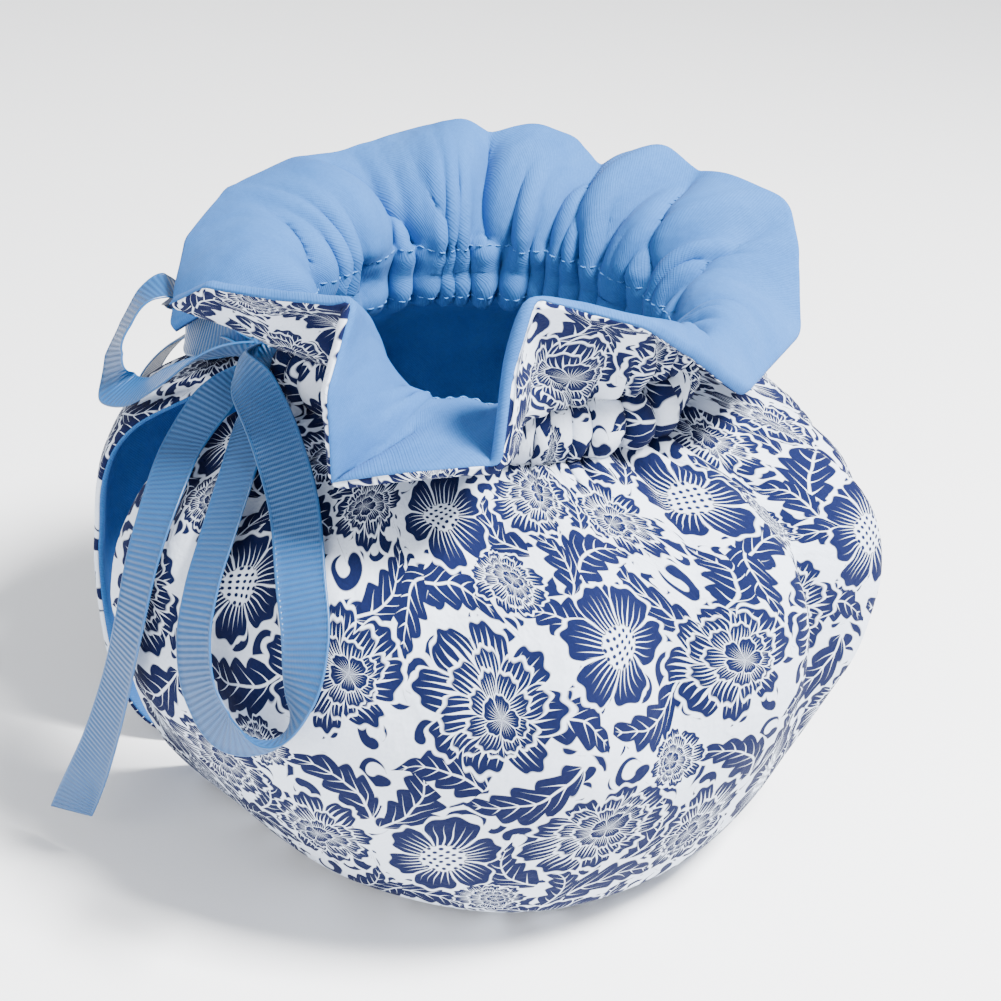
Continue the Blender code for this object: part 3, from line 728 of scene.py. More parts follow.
class Sum:
    """A number or a direction that a material works out at each point. Arithmetic on it adds nodes."""

    def __init__(self, tree, socket):
        self.tree, self.socket = tree, socket

    def op(self, operation, *others, clamp=False):
        """The result of a math node on this and the others, kept between 0 and 1 if clamp is true."""
        node = self.tree.nodes.new("ShaderNodeMath")
        node.operation, node.use_clamp = operation, clamp
        for place, item in zip(node.inputs, (self, *others)):
            if isinstance(item, Sum):
                self.tree.links.new(item.socket, place)
            else:
                place.default_value = item
        return Sum(self.tree, node.outputs[0])

    def vector(self, operation, *others, output=0):
        """The result of a vector math node on this and the others."""
        node = self.tree.nodes.new("ShaderNodeVectorMath")
        node.operation = operation
        for place, item in zip(node.inputs, (self, *others)):
            if isinstance(item, Sum):
                self.tree.links.new(item.socket, place)
            else:
                place.default_value = item
        return Sum(self.tree, node.outputs[output])

    def __add__(self, other):
        return self.op("ADD", other)

    def __sub__(self, other):
        return self.op("SUBTRACT", other)

    def __rsub__(self, other):
        return self.op("MULTIPLY_ADD", -1.0, other)

    def __mul__(self, other):
        return self.op("MULTIPLY", other)

    def __truediv__(self, other):
        return self.op("DIVIDE", other)

    def __pow__(self, other):
        return self.op("POWER", other)

    __radd__, __rmul__ = __add__, __mul__

    def absolute(self):
        return self.op("ABSOLUTE")

    def cosine(self):
        return self.op("COSINE")

    def part(self):
        """The part after the whole number."""
        return self.op("FRACT")

    def angle_to(self, other):
        """Angle of the direction whose x is other and whose y is this."""
        return self.op("ARCTAN2", other)

    def scaled(self, factor):
        """A direction times a number."""
        grown = self.vector("SCALE")
        place = grown.socket.node.inputs["Scale"]
        if isinstance(factor, Sum):
            self.tree.links.new(factor.socket, place)
        else:
            place.default_value = factor
        return grown

    def times_plus(self, factor, term, clamp=False):
        """This times the factor, plus the term."""
        return self.op("MULTIPLY_ADD", factor, term, clamp=clamp)

    def over(self, limit, soft):
        """1 where this is over the limit and 0 under it, with an edge as wide as soft."""
        if isinstance(limit, Sum):
            return (self - limit).times_plus(1.0 / soft, 0.5, clamp=True)
        return self.times_plus(1.0 / soft, 0.5 - limit / soft, clamp=True)

    def under(self, limit, soft):
        """1 where this is under the limit and 0 over it, with an edge as wide as soft."""
        if isinstance(limit, Sum):
            return (limit - self).times_plus(1.0 / soft, 0.5, clamp=True)
        return self.times_plus(-1.0 / soft, 0.5 + limit / soft, clamp=True)

    def smallest(self, other):
        return self.op("MINIMUM", other)

    def largest(self, other):
        return self.op("MAXIMUM", other)

    def less(self, other):
        """1 where this is less than the other, 0 elsewhere."""
        return self.op("LESS_THAN", other)

    def xyz(self):
        """The three numbers of a direction or a place."""
        node = self.tree.nodes.new("ShaderNodeSeparateXYZ")
        self.tree.links.new(self.socket, node.inputs[0])
        return [Sum(self.tree, out) for out in node.outputs]

    def blend(self, first, second, kind="FLOAT"):
        """first where this is 0 and second where it is 1."""
        node = self.tree.nodes.new("ShaderNodeMix")
        node.data_type = kind
        a, b = {"FLOAT": (2, 3), "VECTOR": (4, 5), "RGBA": (6, 7)}[kind]
        out = {"FLOAT": 0, "VECTOR": 1, "RGBA": 2}[kind]
        self.tree.links.new(self.socket, node.inputs[0])
        for place, item in ((a, first), (b, second)):
            if isinstance(item, Sum):
                self.tree.links.new(item.socket, node.inputs[place])
            else:
                node.inputs[place].default_value = item
        return Sum(self.tree, node.outputs[out])

    def noise(self, scale, detail=2.0, rough=0.5, colour=False, dimensions="3D"):
        """Cloudy noise at this place, as one number or as three."""
        node = self.tree.nodes.new("ShaderNodeTexNoise")
        node.noise_dimensions = dimensions
        node.inputs["Scale"].default_value = scale
        node.inputs["Detail"].default_value = detail
        node.inputs["Roughness"].default_value = rough
        self.tree.links.new(self.socket, node.inputs["Vector"])
        return Sum(self.tree, node.outputs[1 if colour else 0])


def radius_of(x, y):
    """Distance of the point x, y from the origin."""
    return (x * x + y * y).op("SQRT")


def nearest(at, tile, places):
    """The repeat's motif nearest to a point: each place is x, y, half length, half width, turn and kind.
    Returns how far the point is from its middle, as a share of its size, its own x and y and its kind."""
    best = local = None
    for x, y, half_length, half_width, turn, kind in places:
        centre = np.array((x, y, 0.0))
        span = np.array((tile[0], tile[1], 0.0)) * 0.5
        wrapped = at.vector("WRAP", tuple(centre + span), tuple(centre - span))
        node = at.tree.nodes.new("ShaderNodeMapping")
        node.vector_type = "TEXTURE"
        at.tree.links.new(wrapped.socket, node.inputs["Vector"])
        node.inputs["Location"].default_value = (x, y, -0.001 * kind)
        node.inputs["Rotation"].default_value = (0.0, 0.0, math.radians(turn))
        node.inputs["Scale"].default_value = (half_length, half_width, 1.0)
        own = Sum(at.tree, node.outputs[0])
        far = own.vector("LENGTH", output=1)
        if best is None:
            best, local = far, own
            continue
        closer = far.less(best)
        local = closer.blend(local, own, "VECTOR")
        best = best.smallest(far)
    x, y, kind = local.xyz()
    return best, x, y, kind * 1000.0


# Rings of petals from the outermost in: radius, start, shift along x and y, all as shares of the flower
PETAL_RINGS = [
    (1.0, 0.0, 0.0, 0.0),
    (0.76, 0.37, -0.06, 0.04),
    (0.53, 0.71, -0.13, 0.07),
    (0.3, 0.13, -0.17, 0.09),
]
HEART_PETALS = 5.0
PETAL_TIPS = 3.0
PETAL_STREAKS = 5.0
DOTS_ACROSS = 8.0
DOTTED_MIDDLE = 0.12


def bloom(x, y, kind):
    """Ink of a flower of radius 1: rings of petals, one inside the other. A petal's tip is solid and its
    foot is streaked with light lines. Kind 0 is a peony of 8 petals, 1 an open flower of 6 with a dotted
    middle and 2 a flower of 9. Also returns how far out the point is, as a share of the outermost
    petals' reach."""
    is_open = (kind - 1.0).absolute().under(0.5, 0.1)
    petals = kind * kind * 2.5 - kind * 4.5 + 8.0
    ink = reach = None
    heart = len(PETAL_RINGS) - 1
    for number, (radius, start, shift_x, shift_y) in enumerate(PETAL_RINGS):
        px, py = x - shift_x, y - shift_y
        theta = py.angle_to(px)
        r = radius_of(px, py)
        count = petals if number < heart else HEART_PETALS
        turn = theta * (count * (0.5 / math.pi)) + (start + 10.0)
        across = turn.part() - 0.5
        side = across.absolute()
        lobes = wave(across, 1.0 / PETAL_TIPS)
        wobble = (theta * 2.0 + (1.3 + 2.0 * number)).cosine()
        limit = (side**3.0).times_plus(-2.1, lobes.times_plus(0.035, wobble.times_plus(0.06, 0.93)))
        if number:
            limit = limit * ((1.0 - is_open) * radius)
        q = r / (limit + 0.0001)
        foot = 0.0 if number == heart else 0.86 * PETAL_RINGS[number + 1][0] / radius
        along = (q - foot) * (1.0 / (1.0 - foot))
        if number == 0:
            along = is_open.blend(along, (q - 0.3) * 1.43)
        bowed = across * (1.0 + 0.5 * along)
        lines = (bowed * PETAL_STREAKS + 0.5).part() - 0.5
        fade = along.times_plus(-0.27, 0.19)
        streak = lines.absolute().under(fade, 0.07)
        gap = side.over(0.465, 0.02)
        petal = 1.0 - streak.largest(gap)
        if number:
            petal = petal * q.under(0.93, 0.05)
            inside = q.under(1.0, 0.02)
            ink = inside.blend(ink, petal)
        else:
            ink = petal
            reach = q
    dots_x, dots_y = ((place * DOTS_ACROSS + 20.0).part() - 0.5 for place in (x, y))
    dots = (dots_x * dots_x + dots_y * dots_y).under(0.085, 0.05)
    middle = (x * x + y * y).under(DOTTED_MIDDLE, 0.02) * is_open
    ink = middle.blend(ink, dots)
    return ink * reach.under(1.0, 0.03), reach


LEAF_BEND = 0.75
LEAF_LOBES = 2.3
LEAF_VEINS = 3.4


def leaf(x, y, kind):
    """Ink of a leaf from x -1 to 1: a spindle along a rib bent one way for kind 0 and the other way for
    kind 2, with a lobed edge and light veins that curve forward. Also returns 1 inside a slightly larger
    outline."""
    y = y + (kind - 1.0) * (x * x - 0.35) * LEAF_BEND
    side = y.absolute()
    spindle = (1.0 - (x * x)) ** 0.6 * x.times_plus(-0.28, 0.74)
    lobe = ((x * LEAF_LOBES - side * 0.9 + 10.0).part() - 0.5).absolute()
    limit = spindle * (lobe**1.6).times_plus(-1.3, 1.12)
    body = side.under(limit, 0.05)
    out = side / (limit + 0.02)
    vein = (x * LEAF_VEINS - side * 1.7 - side * side * 1.6 + 20.0).part() - 0.5
    light = vein.absolute().under(out.times_plus(-0.12, 0.075), 0.04) * out.under(0.72, 0.1)
    rib = side.under(x.times_plus(-0.022, 0.03), 0.03) * x.under(0.8, 0.1)
    return body * (1.0 - light.largest(rib)), side.under(spindle + 0.14, 0.05)


CURL_RADIUS = 0.62
CURL_HEAD = (-0.4, -0.48)
SPRIG_HALF_ANGLE = 1.75


def scroll(x, y, kind):
    """Ink of a curl: kind 0 is a comma, a band round an arc that thins to a point from a round head, and
    kind 1 a sprig of three lobes."""
    theta = y.angle_to(x)
    r = radius_of(x, y)
    t = theta.times_plus(0.2, 0.45)
    width = (1.0 - t).largest(0.0) ** 0.7 * 0.34
    comma = (r - CURL_RADIUS).absolute().under(width, 0.06) * t.over(0.0, 0.03)
    hx, hy = x - CURL_HEAD[0], y - CURL_HEAD[1]
    comma = comma.largest((hx * hx + hy * hy).under(0.13, 0.05))
    lobe = (theta * 1.5).cosine().absolute() ** 0.6
    sprig = r.under(lobe * 0.95, 0.06) * theta.absolute().under(SPRIG_HALF_ANGLE, 0.1)
    return kind.over(0.5, 0.1).blend(comma, sprig)


# The print's repeat and its motifs, in millimetres on the flat cloth
TILE = (87.0, 80.0)
BLOOMS = [
    # x, y, half length, half width, turn, kind
    (13.0, 14.0, 15.0, 13.5, 20.0, 0),
    (40.5, 22.0, 13.5, 12.5, -15.0, 1),
    (68.0, 12.5, 16.0, 15.0, 70.0, 0),
    (13.5, 51.0, 14.0, 13.5, 140.0, 0),
    (42.5, 60.5, 16.0, 13.5, 0.0, 2),
    (73.0, 52.0, 14.5, 13.5, -60.0, 1),
    (60.0, 37.0, 8.5, 8.0, 30.0, 2),
    (26.5, 74.5, 7.5, 7.0, 200.0, 0),
]
LEAVES = [
    (25.5, 28.5, 11.0, 6.5, 65.0, 0),
    (3.0, 32.0, 10.5, 6.0, 120.0, 2),
    (52.5, 8.0, 10.0, 6.0, 200.0, 0),
    (51.5, 27.0, 9.5, 6.0, 40.0, 2),
    (33.5, 40.0, 12.5, 7.5, 170.0, 0),
    (83.5, 29.0, 11.0, 6.5, -60.0, 2),
    (73.5, 33.0, 10.5, 6.5, 190.0, 0),
    (28.0, 57.0, 10.0, 6.0, 95.0, 2),
    (57.5, 50.5, 10.0, 6.0, 60.0, 0),
    (10.5, 70.5, 11.5, 6.5, 30.0, 2),
    (60.0, 72.5, 12.0, 7.0, -20.0, 0),
    (81.5, 70.0, 11.0, 6.5, 100.0, 2),
    (33.5, 5.5, 11.0, 6.5, -10.0, 0),
    (46.0, 41.5, 9.0, 5.5, 80.0, 2),
    (76.0, 77.5, 10.0, 6.0, 10.0, 2),
]
SCROLLS = [
    (27.5, 13.5, 4.6, 4.6, 0.0, 0),
    (82.5, 15.0, 4.6, 4.6, 130.0, 0),
    (52.0, 16.5, 3.8, 3.8, 220.0, 1),
    (48.5, 34.5, 4.4, 4.4, 80.0, 0),
    (14.5, 32.5, 5.0, 5.0, 260.0, 0),
    (20.0, 38.5, 4.0, 4.0, 60.0, 1),
    (38.5, 34.5, 3.8, 3.8, 10.0, 0),
    (65.5, 27.5, 4.2, 4.2, 300.0, 0),
    (76.5, 39.5, 4.0, 4.0, 100.0, 1),
    (2.5, 43.0, 4.6, 4.6, 40.0, 0),
    (28.5, 47.5, 4.2, 4.2, 250.0, 0),
    (28.0, 65.0, 4.6, 4.6, 20.0, 0),
    (59.0, 61.0, 4.2, 4.2, 170.0, 0),
    (62.0, 45.5, 3.6, 3.6, 10.0, 0),
    (2.5, 62.0, 4.6, 4.6, 120.0, 1),
    (17.0, 64.5, 4.0, 4.0, 200.0, 0),
    (70.5, 66.0, 4.6, 4.6, 60.0, 0),
    (38.5, 76.5, 4.4, 4.4, 330.0, 0),
    (50.0, 76.5, 4.0, 4.0, 120.0, 1),
    (69.5, 79.0, 4.2, 4.2, 250.0, 0),
    (2.0, 76.0, 4.2, 4.2, 0.0, 0),
    (47.5, 49.0, 3.8, 3.8, 190.0, 0),
]
# A stem is an arc of STEM_REACH to each side of its own x direction, with a light edge
STEM_RADIUS = 0.85
STEM_REACH = 2.0
STEM_HALF_WIDTH = 0.055
STEM_LIGHT_EDGE = 0.13
STEMS = [
    (23.5, 33.5, 15.0, 15.0, 100.0, 0),
    (77.0, 22.0, 14.0, 14.0, 0.0, 0),
    (50.0, 43.5, 14.0, 14.0, 200.0, 0),
    (8.5, 66.5, 14.0, 14.0, 300.0, 0),
    (58.5, 76.5, 15.0, 15.0, 60.0, 0),
    (36.0, 12.0, 13.0, 13.0, 160.0, 0),
    (66.0, 62.0, 13.0, 13.0, 20.0, 0),
]
FILLER_TILE = (29.0, 26.667)
FILLERS = [
    (3.0, 4.0, 3.3, 3.3, 30.0, 0),
    (12.0, 2.5, 2.8, 2.8, 200.0, 1),
    (21.0, 5.0, 3.5, 3.5, 110.0, 0),
    (27.0, 12.0, 3.0, 3.0, 330.0, 0),
    (7.0, 12.5, 3.4, 3.4, 250.0, 0),
    (16.5, 13.0, 3.2, 3.2, 60.0, 0),
    (3.0, 20.5, 3.0, 3.0, 150.0, 1),
    (12.0, 22.0, 3.5, 3.5, 290.0, 0),
    (21.5, 21.0, 3.1, 3.1, 10.0, 0),
]


def flat_place(tree):
    """The point's place on the piece's flat layout, in millimetres."""
    node = tree.nodes.new("ShaderNodeUVMap")
    node.uv_map = "UVMap"
    return Sum(tree, node.outputs[0]).scaled(1.0 / MM)


def object_place(tree):
    """The point's place in the frame, in metres."""
    return Sum(tree, tree.nodes.new("ShaderNodeTexCoord").outputs["Object"])


def wave(length_along, pitch):
    """A wave of the given pitch from -1 to 1."""
    return (length_along * (2.0 * math.pi / pitch)).cosine()


def new_material(name, roughness, sheen=0.0, gloss=0.5):
    """A material whose shader has the finish given and waits for its colour."""
    material = bpy.data.materials.new(name)
    material.use_nodes = True
    shader = material.node_tree.nodes["Principled BSDF"]
    shader.inputs["Roughness"].default_value = roughness
    shader.inputs["Specular IOR Level"].default_value = gloss
    shader.inputs["Sheen Weight"].default_value = sheen
    shader.inputs["Sheen Roughness"].default_value = SHEEN_SPREAD
    return material, material.node_tree, shader


def set_bump(tree, shader, height, distance):
    """Relief of the height given, from 0 to 1, over the distance in metres."""
    bump = tree.nodes.new("ShaderNodeBump")
    bump.inputs["Distance"].default_value = distance
    bump.inputs["Strength"].default_value = 1.0
    tree.links.new(height.socket, bump.inputs["Height"])
    tree.links.new(bump.outputs[0], shader.inputs["Normal"])


# How far the noise bends the print, in millimetres
BEND = 1.6


def print_material():
    """Cool white cotton with a dense navy print. Fillers lie lowest, then stems, scrolls, leaves and
    blooms, and a slow noise bends them all, so that no two repeats are quite alike."""
    material, tree, shader = new_material("print_cotton", 0.9, 0.015, 0.15)
    flat = flat_place(tree)
    bend = flat.noise(0.09, 1.0, 0.5, colour=True, dimensions="2D")
    bend = bend.vector("MULTIPLY_ADD", (2.0 * BEND, 2.0 * BEND, 0.0), (-BEND, -BEND, 0.0))
    at = flat.vector("ADD", bend)
    _, fx, fy, fkind = nearest(at, FILLER_TILE, FILLERS)
    ink = scroll(fx, fy, fkind)
    _, sx, sy, _ = nearest(at, TILE, STEMS)
    theta = sy.angle_to(sx)
    r = radius_of(sx, sy)
    reached = theta.absolute().under(STEM_REACH, 0.03)
    stem = (r - STEM_RADIUS).absolute()
    ink = (stem.under(STEM_LIGHT_EDGE, 0.03) * reached).blend(ink, stem.under(STEM_HALF_WIDTH, 0.03))
    far, cx, cy, ckind = nearest(at, TILE, SCROLLS)
    ink = far.under(1.12, 0.05).blend(ink, scroll(cx, cy, ckind))
    _, lx, ly, lkind = nearest(at, TILE, LEAVES)
    leaf_ink, leaf_area = leaf(lx, ly, lkind)
    ink = leaf_area.blend(ink, leaf_ink)
    _, bx, by, bkind = nearest(at, TILE, BLOOMS)
    bloom_ink, reach = bloom(bx, by, bkind)
    ink = reach.under(1.07, 0.03).blend(ink, bloom_ink)
    mottle = flat.noise(1.6, 3.0, 0.6, dimensions="2D")
    depth = mottle.times_plus(0.5, 0.68, clamp=True)
    x, y, _ = flat.xyz()
    thread = (wave(x, PLAIN_WEAVE_PITCH) * wave(y, PLAIN_WEAVE_PITCH)).times_plus(0.5, 0.5)
    ground = mottle.blend(SHADED_WHITE, COOL_WHITE, "RGBA")
    navy = depth.blend(NAVY, DEEP_NAVY, "RGBA")
    colour = ink.blend(ground, navy, "RGBA")
    tree.links.new(colour.socket, shader.inputs["Base Color"])
    soft = flat.noise(0.22, 3.0, 0.55, dimensions="2D")
    set_bump(tree, shader, soft * 0.6 + thread * 0.03, 0.0009)
    return material


def lining_material():
    """Cornflower blue cotton in a fine twill, a little uneven in colour and wrinkled by handling."""
    material, tree, shader = new_material("blue_cotton", 0.85, 0.02, 0.15)
    flat = flat_place(tree)
    x, y, _ = flat.xyz()
    twill = wave(x + y, TWILL_PITCH).times_plus(0.5, 0.5)
    threads = wave(x, THREAD_PITCH) * wave(y, THREAD_PITCH)
    cloudy = flat.noise(0.06, 3.0, 0.6, dimensions="2D")
    slub = flat.noise(1.4, 3.0, 0.65, dimensions="2D")
    base = cloudy.times_plus(1.6, -0.3, clamp=True).blend(DEEP_CORNFLOWER, CORNFLOWER, "RGBA")
    shade = slub.times_plus(0.34, twill.times_plus(0.12, 0.74))
    tree.links.new(base.scaled(shade).socket, shader.inputs["Base Color"])
    wrinkle = flat.noise(0.14, 2.0, 0.45, dimensions="2D")
    set_bump(tree, shader, wrinkle * 0.5 + twill * 0.03 + threads * 0.02, 0.0012)
    return material


def ribbon_material():
    """Blue grosgrain: a cross rib every RIB, with painted shade between the ribs, where the colour goes
    darker, and plain corded edges.
    """
    material, tree, shader = new_material("grosgrain", 0.36, 0.02, 0.5)
    flat = flat_place(tree)
    x, y, _ = flat.xyz()
    edge = y.absolute().over(0.44 * RIBBON_WIDTH, 0.3)
    # rib is 1 on top of a rib and 0 in the groove: it sets the relief, and the painted shade in the
    # grooves
    rib = edge.blend(wave(x, RIB).times_plus(0.5, 0.5), 0.8)
    fibre = wave(y, FIBRE_PITCH).times_plus(0.5, 0.5)
    cloudy = flat.noise(0.08, 3.0, 0.6, dimensions="2D")
    # Share of the lighter blue: low in the grooves as painted shade, and varied by the fine lengthwise
    # threads and by random patches
    tone_and_groove_shade = rib * (fibre.times_plus(0.12, 0.88)) * cloudy.times_plus(0.4, 0.8)
    colour = tone_and_groove_shade.blend(DEEP_AND_SHADED_RIBBON_BLUE, RIBBON_BLUE, "RGBA")
    tree.links.new(colour.socket, shader.inputs["Base Color"])
    set_bump(tree, shader, rib * 0.3 + fibre * 0.08 + cloudy * 0.3, 0.0004)
    return material


def thread_material(name, light, shaded):
    """Sewing thread: two plies twisted round each other, with painted shade in the grooves between them,
    where the colour goes to the darker one.
    """
    material, tree, shader = new_material(name, 0.6, 0.02, 0.3)
    x, y, z = object_place(tree).scaled(1.0 / MM).xyz()
    ply_relief_and_shade = wave(x + y + z, PLY_PITCH).times_plus(0.5, 0.5)
    tree.links.new(ply_relief_and_shade.blend(shaded, light, "RGBA").socket, shader.inputs["Base Color"])
    set_bump(tree, shader, ply_relief_and_shade, 0.0001)
    return material


def floor_material():
    """Matt white table top, with the faint unevenness of paint."""
    material, tree, shader = new_material("pale_floor", 0.9)
    uneven = object_place(tree).noise(6.0, 3.0, 0.6)
    colour = uneven.blend(DULL_WHITE, MATT_WHITE, "RGBA")
    tree.links.new(colour.socket, shader.inputs["Base Color"])
    return material


# The cloths' faces, and their flat layout: x along the hem and y up to the collar's edge
parts, closed = cloth_faces()
flat_height = run_length(np.concatenate(parts["print"], axis=1), 0).mean(axis=1)[:, None]
cloth_uv = [np.stack(np.broadcast_arrays(u * FLAT_LENGTH, flat_height), axis=-1) for u, _ in HALVES]

outer = cloth_shell("outer_print", "print", False, print_material())
inner = cloth_shell("plain_lining", "lining", True, lining_material())
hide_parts("outer_cloth")
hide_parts("lining")

# The ribbon
RIBBON_WIDTH = 10.0
RIBBON_THICK = 0.55
RIB = 1.15
STEPS_PER_RIB = 5
GROOVE_DEPTH = 0.2
RIBBED = 0.45
# Profile across the ribbon: place as a share of the width, and height as a share of the thickness
ACROSS = np.array((-0.5, -0.488, -0.46, -0.44, -0.3, -0.1, 0.1, 0.3, 0.44, 0.46, 0.488, 0.5))
RIDGE = np.array((0.0, 0.75, 0.95, 0.78, 1.0, 1.0, 1.0, 1.0, 0.78, 0.95, 0.75, 0.0))
# At the knot a strand is squeezed to a share of its width, and cupped
KNOT_CUP = 1.6
SQUEEZED = 0.35
SQUEEZE_LENGTH = 18.0
TAIL_CUT = 7.0
TAIL_CUT_LENGTH = 12.0
# A strand that isn't turned faces away from this point, whose height counts more
BODY_CENTRE = np.array((0.0, 0.0, 50.0))
BODY_ROUNDING = np.array((1.0, 1.0, 2.8))
KNOT_CENTRE = np.array((-47.5, 0.0, 101.0))
FRONT_LOOP = [
    # x, y, z, turn
    (-48.0, -2.5, 99.0, -70.0),
    (-53.0, -11.0, 100.0, -60.0),
    (-54.5, -24.0, 97.0, -14.0),
    (-59.0, -35.5, 90.5, -12.0),
    (-63.0, -44.0, 83.5, -12.0),
    (-66.5, -50.5, 76.0, -12.0),
    (-68.5, -56.0, 67.0, -10.0),
    (-67.5, -61.5, 58.5, -8.0),
    (-63.5, -67.0, 53.5, -8.0),
    (-58.0, -71.5, 54.0, -45.0),
    (-53.0, -75.5, 58.5, -105.0),
    (-50.5, -74.5, 66.0, -150.0),
    (-49.0, -69.5, 74.5, -174.0),
    (-49.0, -61.0, 82.5, -180.0),
    (-49.0, -47.5, 92.0, -180.0),
    (-51.0, -34.5, 99.0, -180.0),
    (-53.5, -20.0, 102.5, -165.0),
    (-55.5, -11.0, 104.5, -130.0),
    (-50.0, -3.5, 105.0, -110.0),
]
BACK_LOOP = [
    (-49.5, 4.0, 100.8, 75.0),
    (-56.1, 9.9, 100.5, 60.0),
    (-61.0, 19.6, 97.8, 45.0),
    (-63.2, 27.9, 95.8, 55.0),
    (-63.9, 32.2, 97.5, 80.0),
    (-64.2, 33.8, 101.0, 75.0),
    (-66.8, 33.0, 104.0, 40.0),
    (-72.1, 31.1, 103.0, 10.0),
    (-76.9, 28.5, 97.1, 0.0),
    (-79.7, 25.7, 91.0, 0.0),
    (-79.5, 21.3, 85.5, 0.0),
    (-76.2, 15.5, 86.4, 0.0),
    (-70.3, 9.9, 92.2, 0.0),
    (-62.8, 5.5, 98.5, 20.0),
    (-55.0, 1.5, 102.5, 55.0),
    (-48.5, -1.0, 104.0, 80.0),
]
FRONT_TAIL = [
    (-49.5, -1.5, 101.0, 60.0),
    (-58.5, -8.5, 98.0, 30.0),
    (-67.0, -16.5, 90.5, 12.0),
    (-72.5, -28.0, 84.0, 4.0),
    (-77.0, -36.0, 74.0, 0.0),
    (-80.0, -40.5, 62.0, 0.0),
    (-83.0, -40.5, 47.0, 0.0),
    (-87.0, -38.0, 30.0, 0.0),
    (-92.5, -32.5, 11.0, 0.0),
]
BACK_TAIL = [
    (-50.0, 0.5, 100.3, -60.0),
    (-53.0, 8.5, 100.6, -40.0),
    (-53.5, 17.0, 99.3, -15.0),
    (-54.0, 26.0, 97.5, -5.0),
    (-57.5, 35.5, 93.5, 0.0),
    (-63.5, 44.0, 87.0, 0.0),
    (-69.5, 50.0, 77.5, 0.0),
    (-73.5, 53.3, 65.0, 0.0),
    (-75.2, 54.2, 52.0, 0.0),
    (-75.0, 54.2, 43.0, 0.0),
    (-74.0, 53.8, 34.0, 0.0),
]


def ribbon_axes(centre, turn):
    """Directions along a ribbon, across its width and through its thickness: it lies on the body, turned
    about its own length by the angle given."""
    along = unit(np.gradient(centre, axis=0))
    flat = unit(np.cross(along, (centre - BODY_CENTRE) * BODY_ROUNDING))
    width = np.cos(turn) * flat + np.sin(turn) * np.cross(flat, along)
    return along, width, np.cross(along, width)


def ribbon_strip(name, route, cut, material):
    """A ribbon carried along the route: flat across, with a rib every RIB of its length, squeezed
    together at the knot and cut off at a slant if it is a tail."""
    table = np.array(route)
    run = np.concatenate([[0.0], np.cumsum(np.linalg.norm(np.diff(table[:, :3], axis=0), axis=1))])
    length = run[-1]
    s = np.linspace(0.0, length, int(round(length / RIB * STEPS_PER_RIB)) + 1)
    centre = np.stack([through(s, run, table[:, k]) for k in range(3)], axis=1)
    along, width, thick = ribbon_axes(centre, np.radians(through(s, run, table[:, 3]))[:, None])
    from_knot = s if cut else np.minimum(s, length - s)
    squeeze = SQUEEZED + (1.0 - SQUEEZED) * eased(from_knot, 0.0, SQUEEZE_LENGTH)[:, None]
    slant = cut * np.clip((s - length + TAIL_CUT_LENGTH) / TAIL_CUT_LENGTH, 0.0, 1.0)[:, None]
    groove = 0.5 - 0.5 * np.cos(2.0 * math.pi * s / RIB)[:, None]
    height = 0.5 * RIBBON_THICK * (RIDGE - GROOVE_DEPTH * (np.abs(ACROSS) < RIBBED) * groove)
    cup = KNOT_CUP * (1.0 - squeeze) * np.cos(math.pi * ACROSS)
    base = centre[:, None] + ACROSS[:, None] * (RIBBON_WIDTH * width * squeeze + slant * along)[:, None]
    upper = base + (cup + height)[..., None] * thick[:, None]
    lower = base + (cup - height)[..., None] * thick[:, None]
    ring = np.concatenate([upper, lower[:, -2:0:-1]], axis=1)
    number = np.arange(ring.shape[0] * ring.shape[1]).reshape(ring.shape[:2])
    faces = quads(np.concatenate([number, number[:, :1]], axis=1)).tolist()
    last = len(ACROSS) - 1
    for row, order in ((number[0].tolist(), -1), (number[-1].tolist(), 1)):
        top, under = row[: last + 1], [row[0], *row[:last:-1], row[last]]
        for k in range(last):
            corners = [top[k], top[k + 1], under[k + 1], under[k]][::order]
            faces.append(list(dict.fromkeys(corners)))
    v = np.concatenate([ACROSS, ACROSS[-2:0:-1]]) * RIBBON_WIDTH
    uv = np.stack(np.broadcast_arrays(s[:, None], v), axis=-1).reshape(-1, 2)
    piece = new_piece(name, ring.reshape(-1, 3), faces, uv, material)
    return piece


grosgrain = ribbon_material()
strips = [
    ribbon_strip("ribbon_front_loop", FRONT_LOOP, 0.0, grosgrain),
    ribbon_strip("ribbon_back_loop", BACK_LOOP, 0.0, grosgrain),
    ribbon_strip("ribbon_front_tail", FRONT_TAIL, TAIL_CUT, grosgrain),
    ribbon_strip("ribbon_back_tail", BACK_TAIL, TAIL_CUT, grosgrain),
]
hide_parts("ribbon_tie")

KNOT_REACH = np.array((5.4, 7.0, 6.6))
KNOT_RIBS = 31
KNOT_RIB_HEIGHT = 0.012
KNOT_PLEATS = 4
KNOT_PLEAT_HEIGHT = 0.06
KNOT_SQUARENESS = 2.6
KNOT_OVAL = 0.05
KNOT_STEPS = (41, 192)


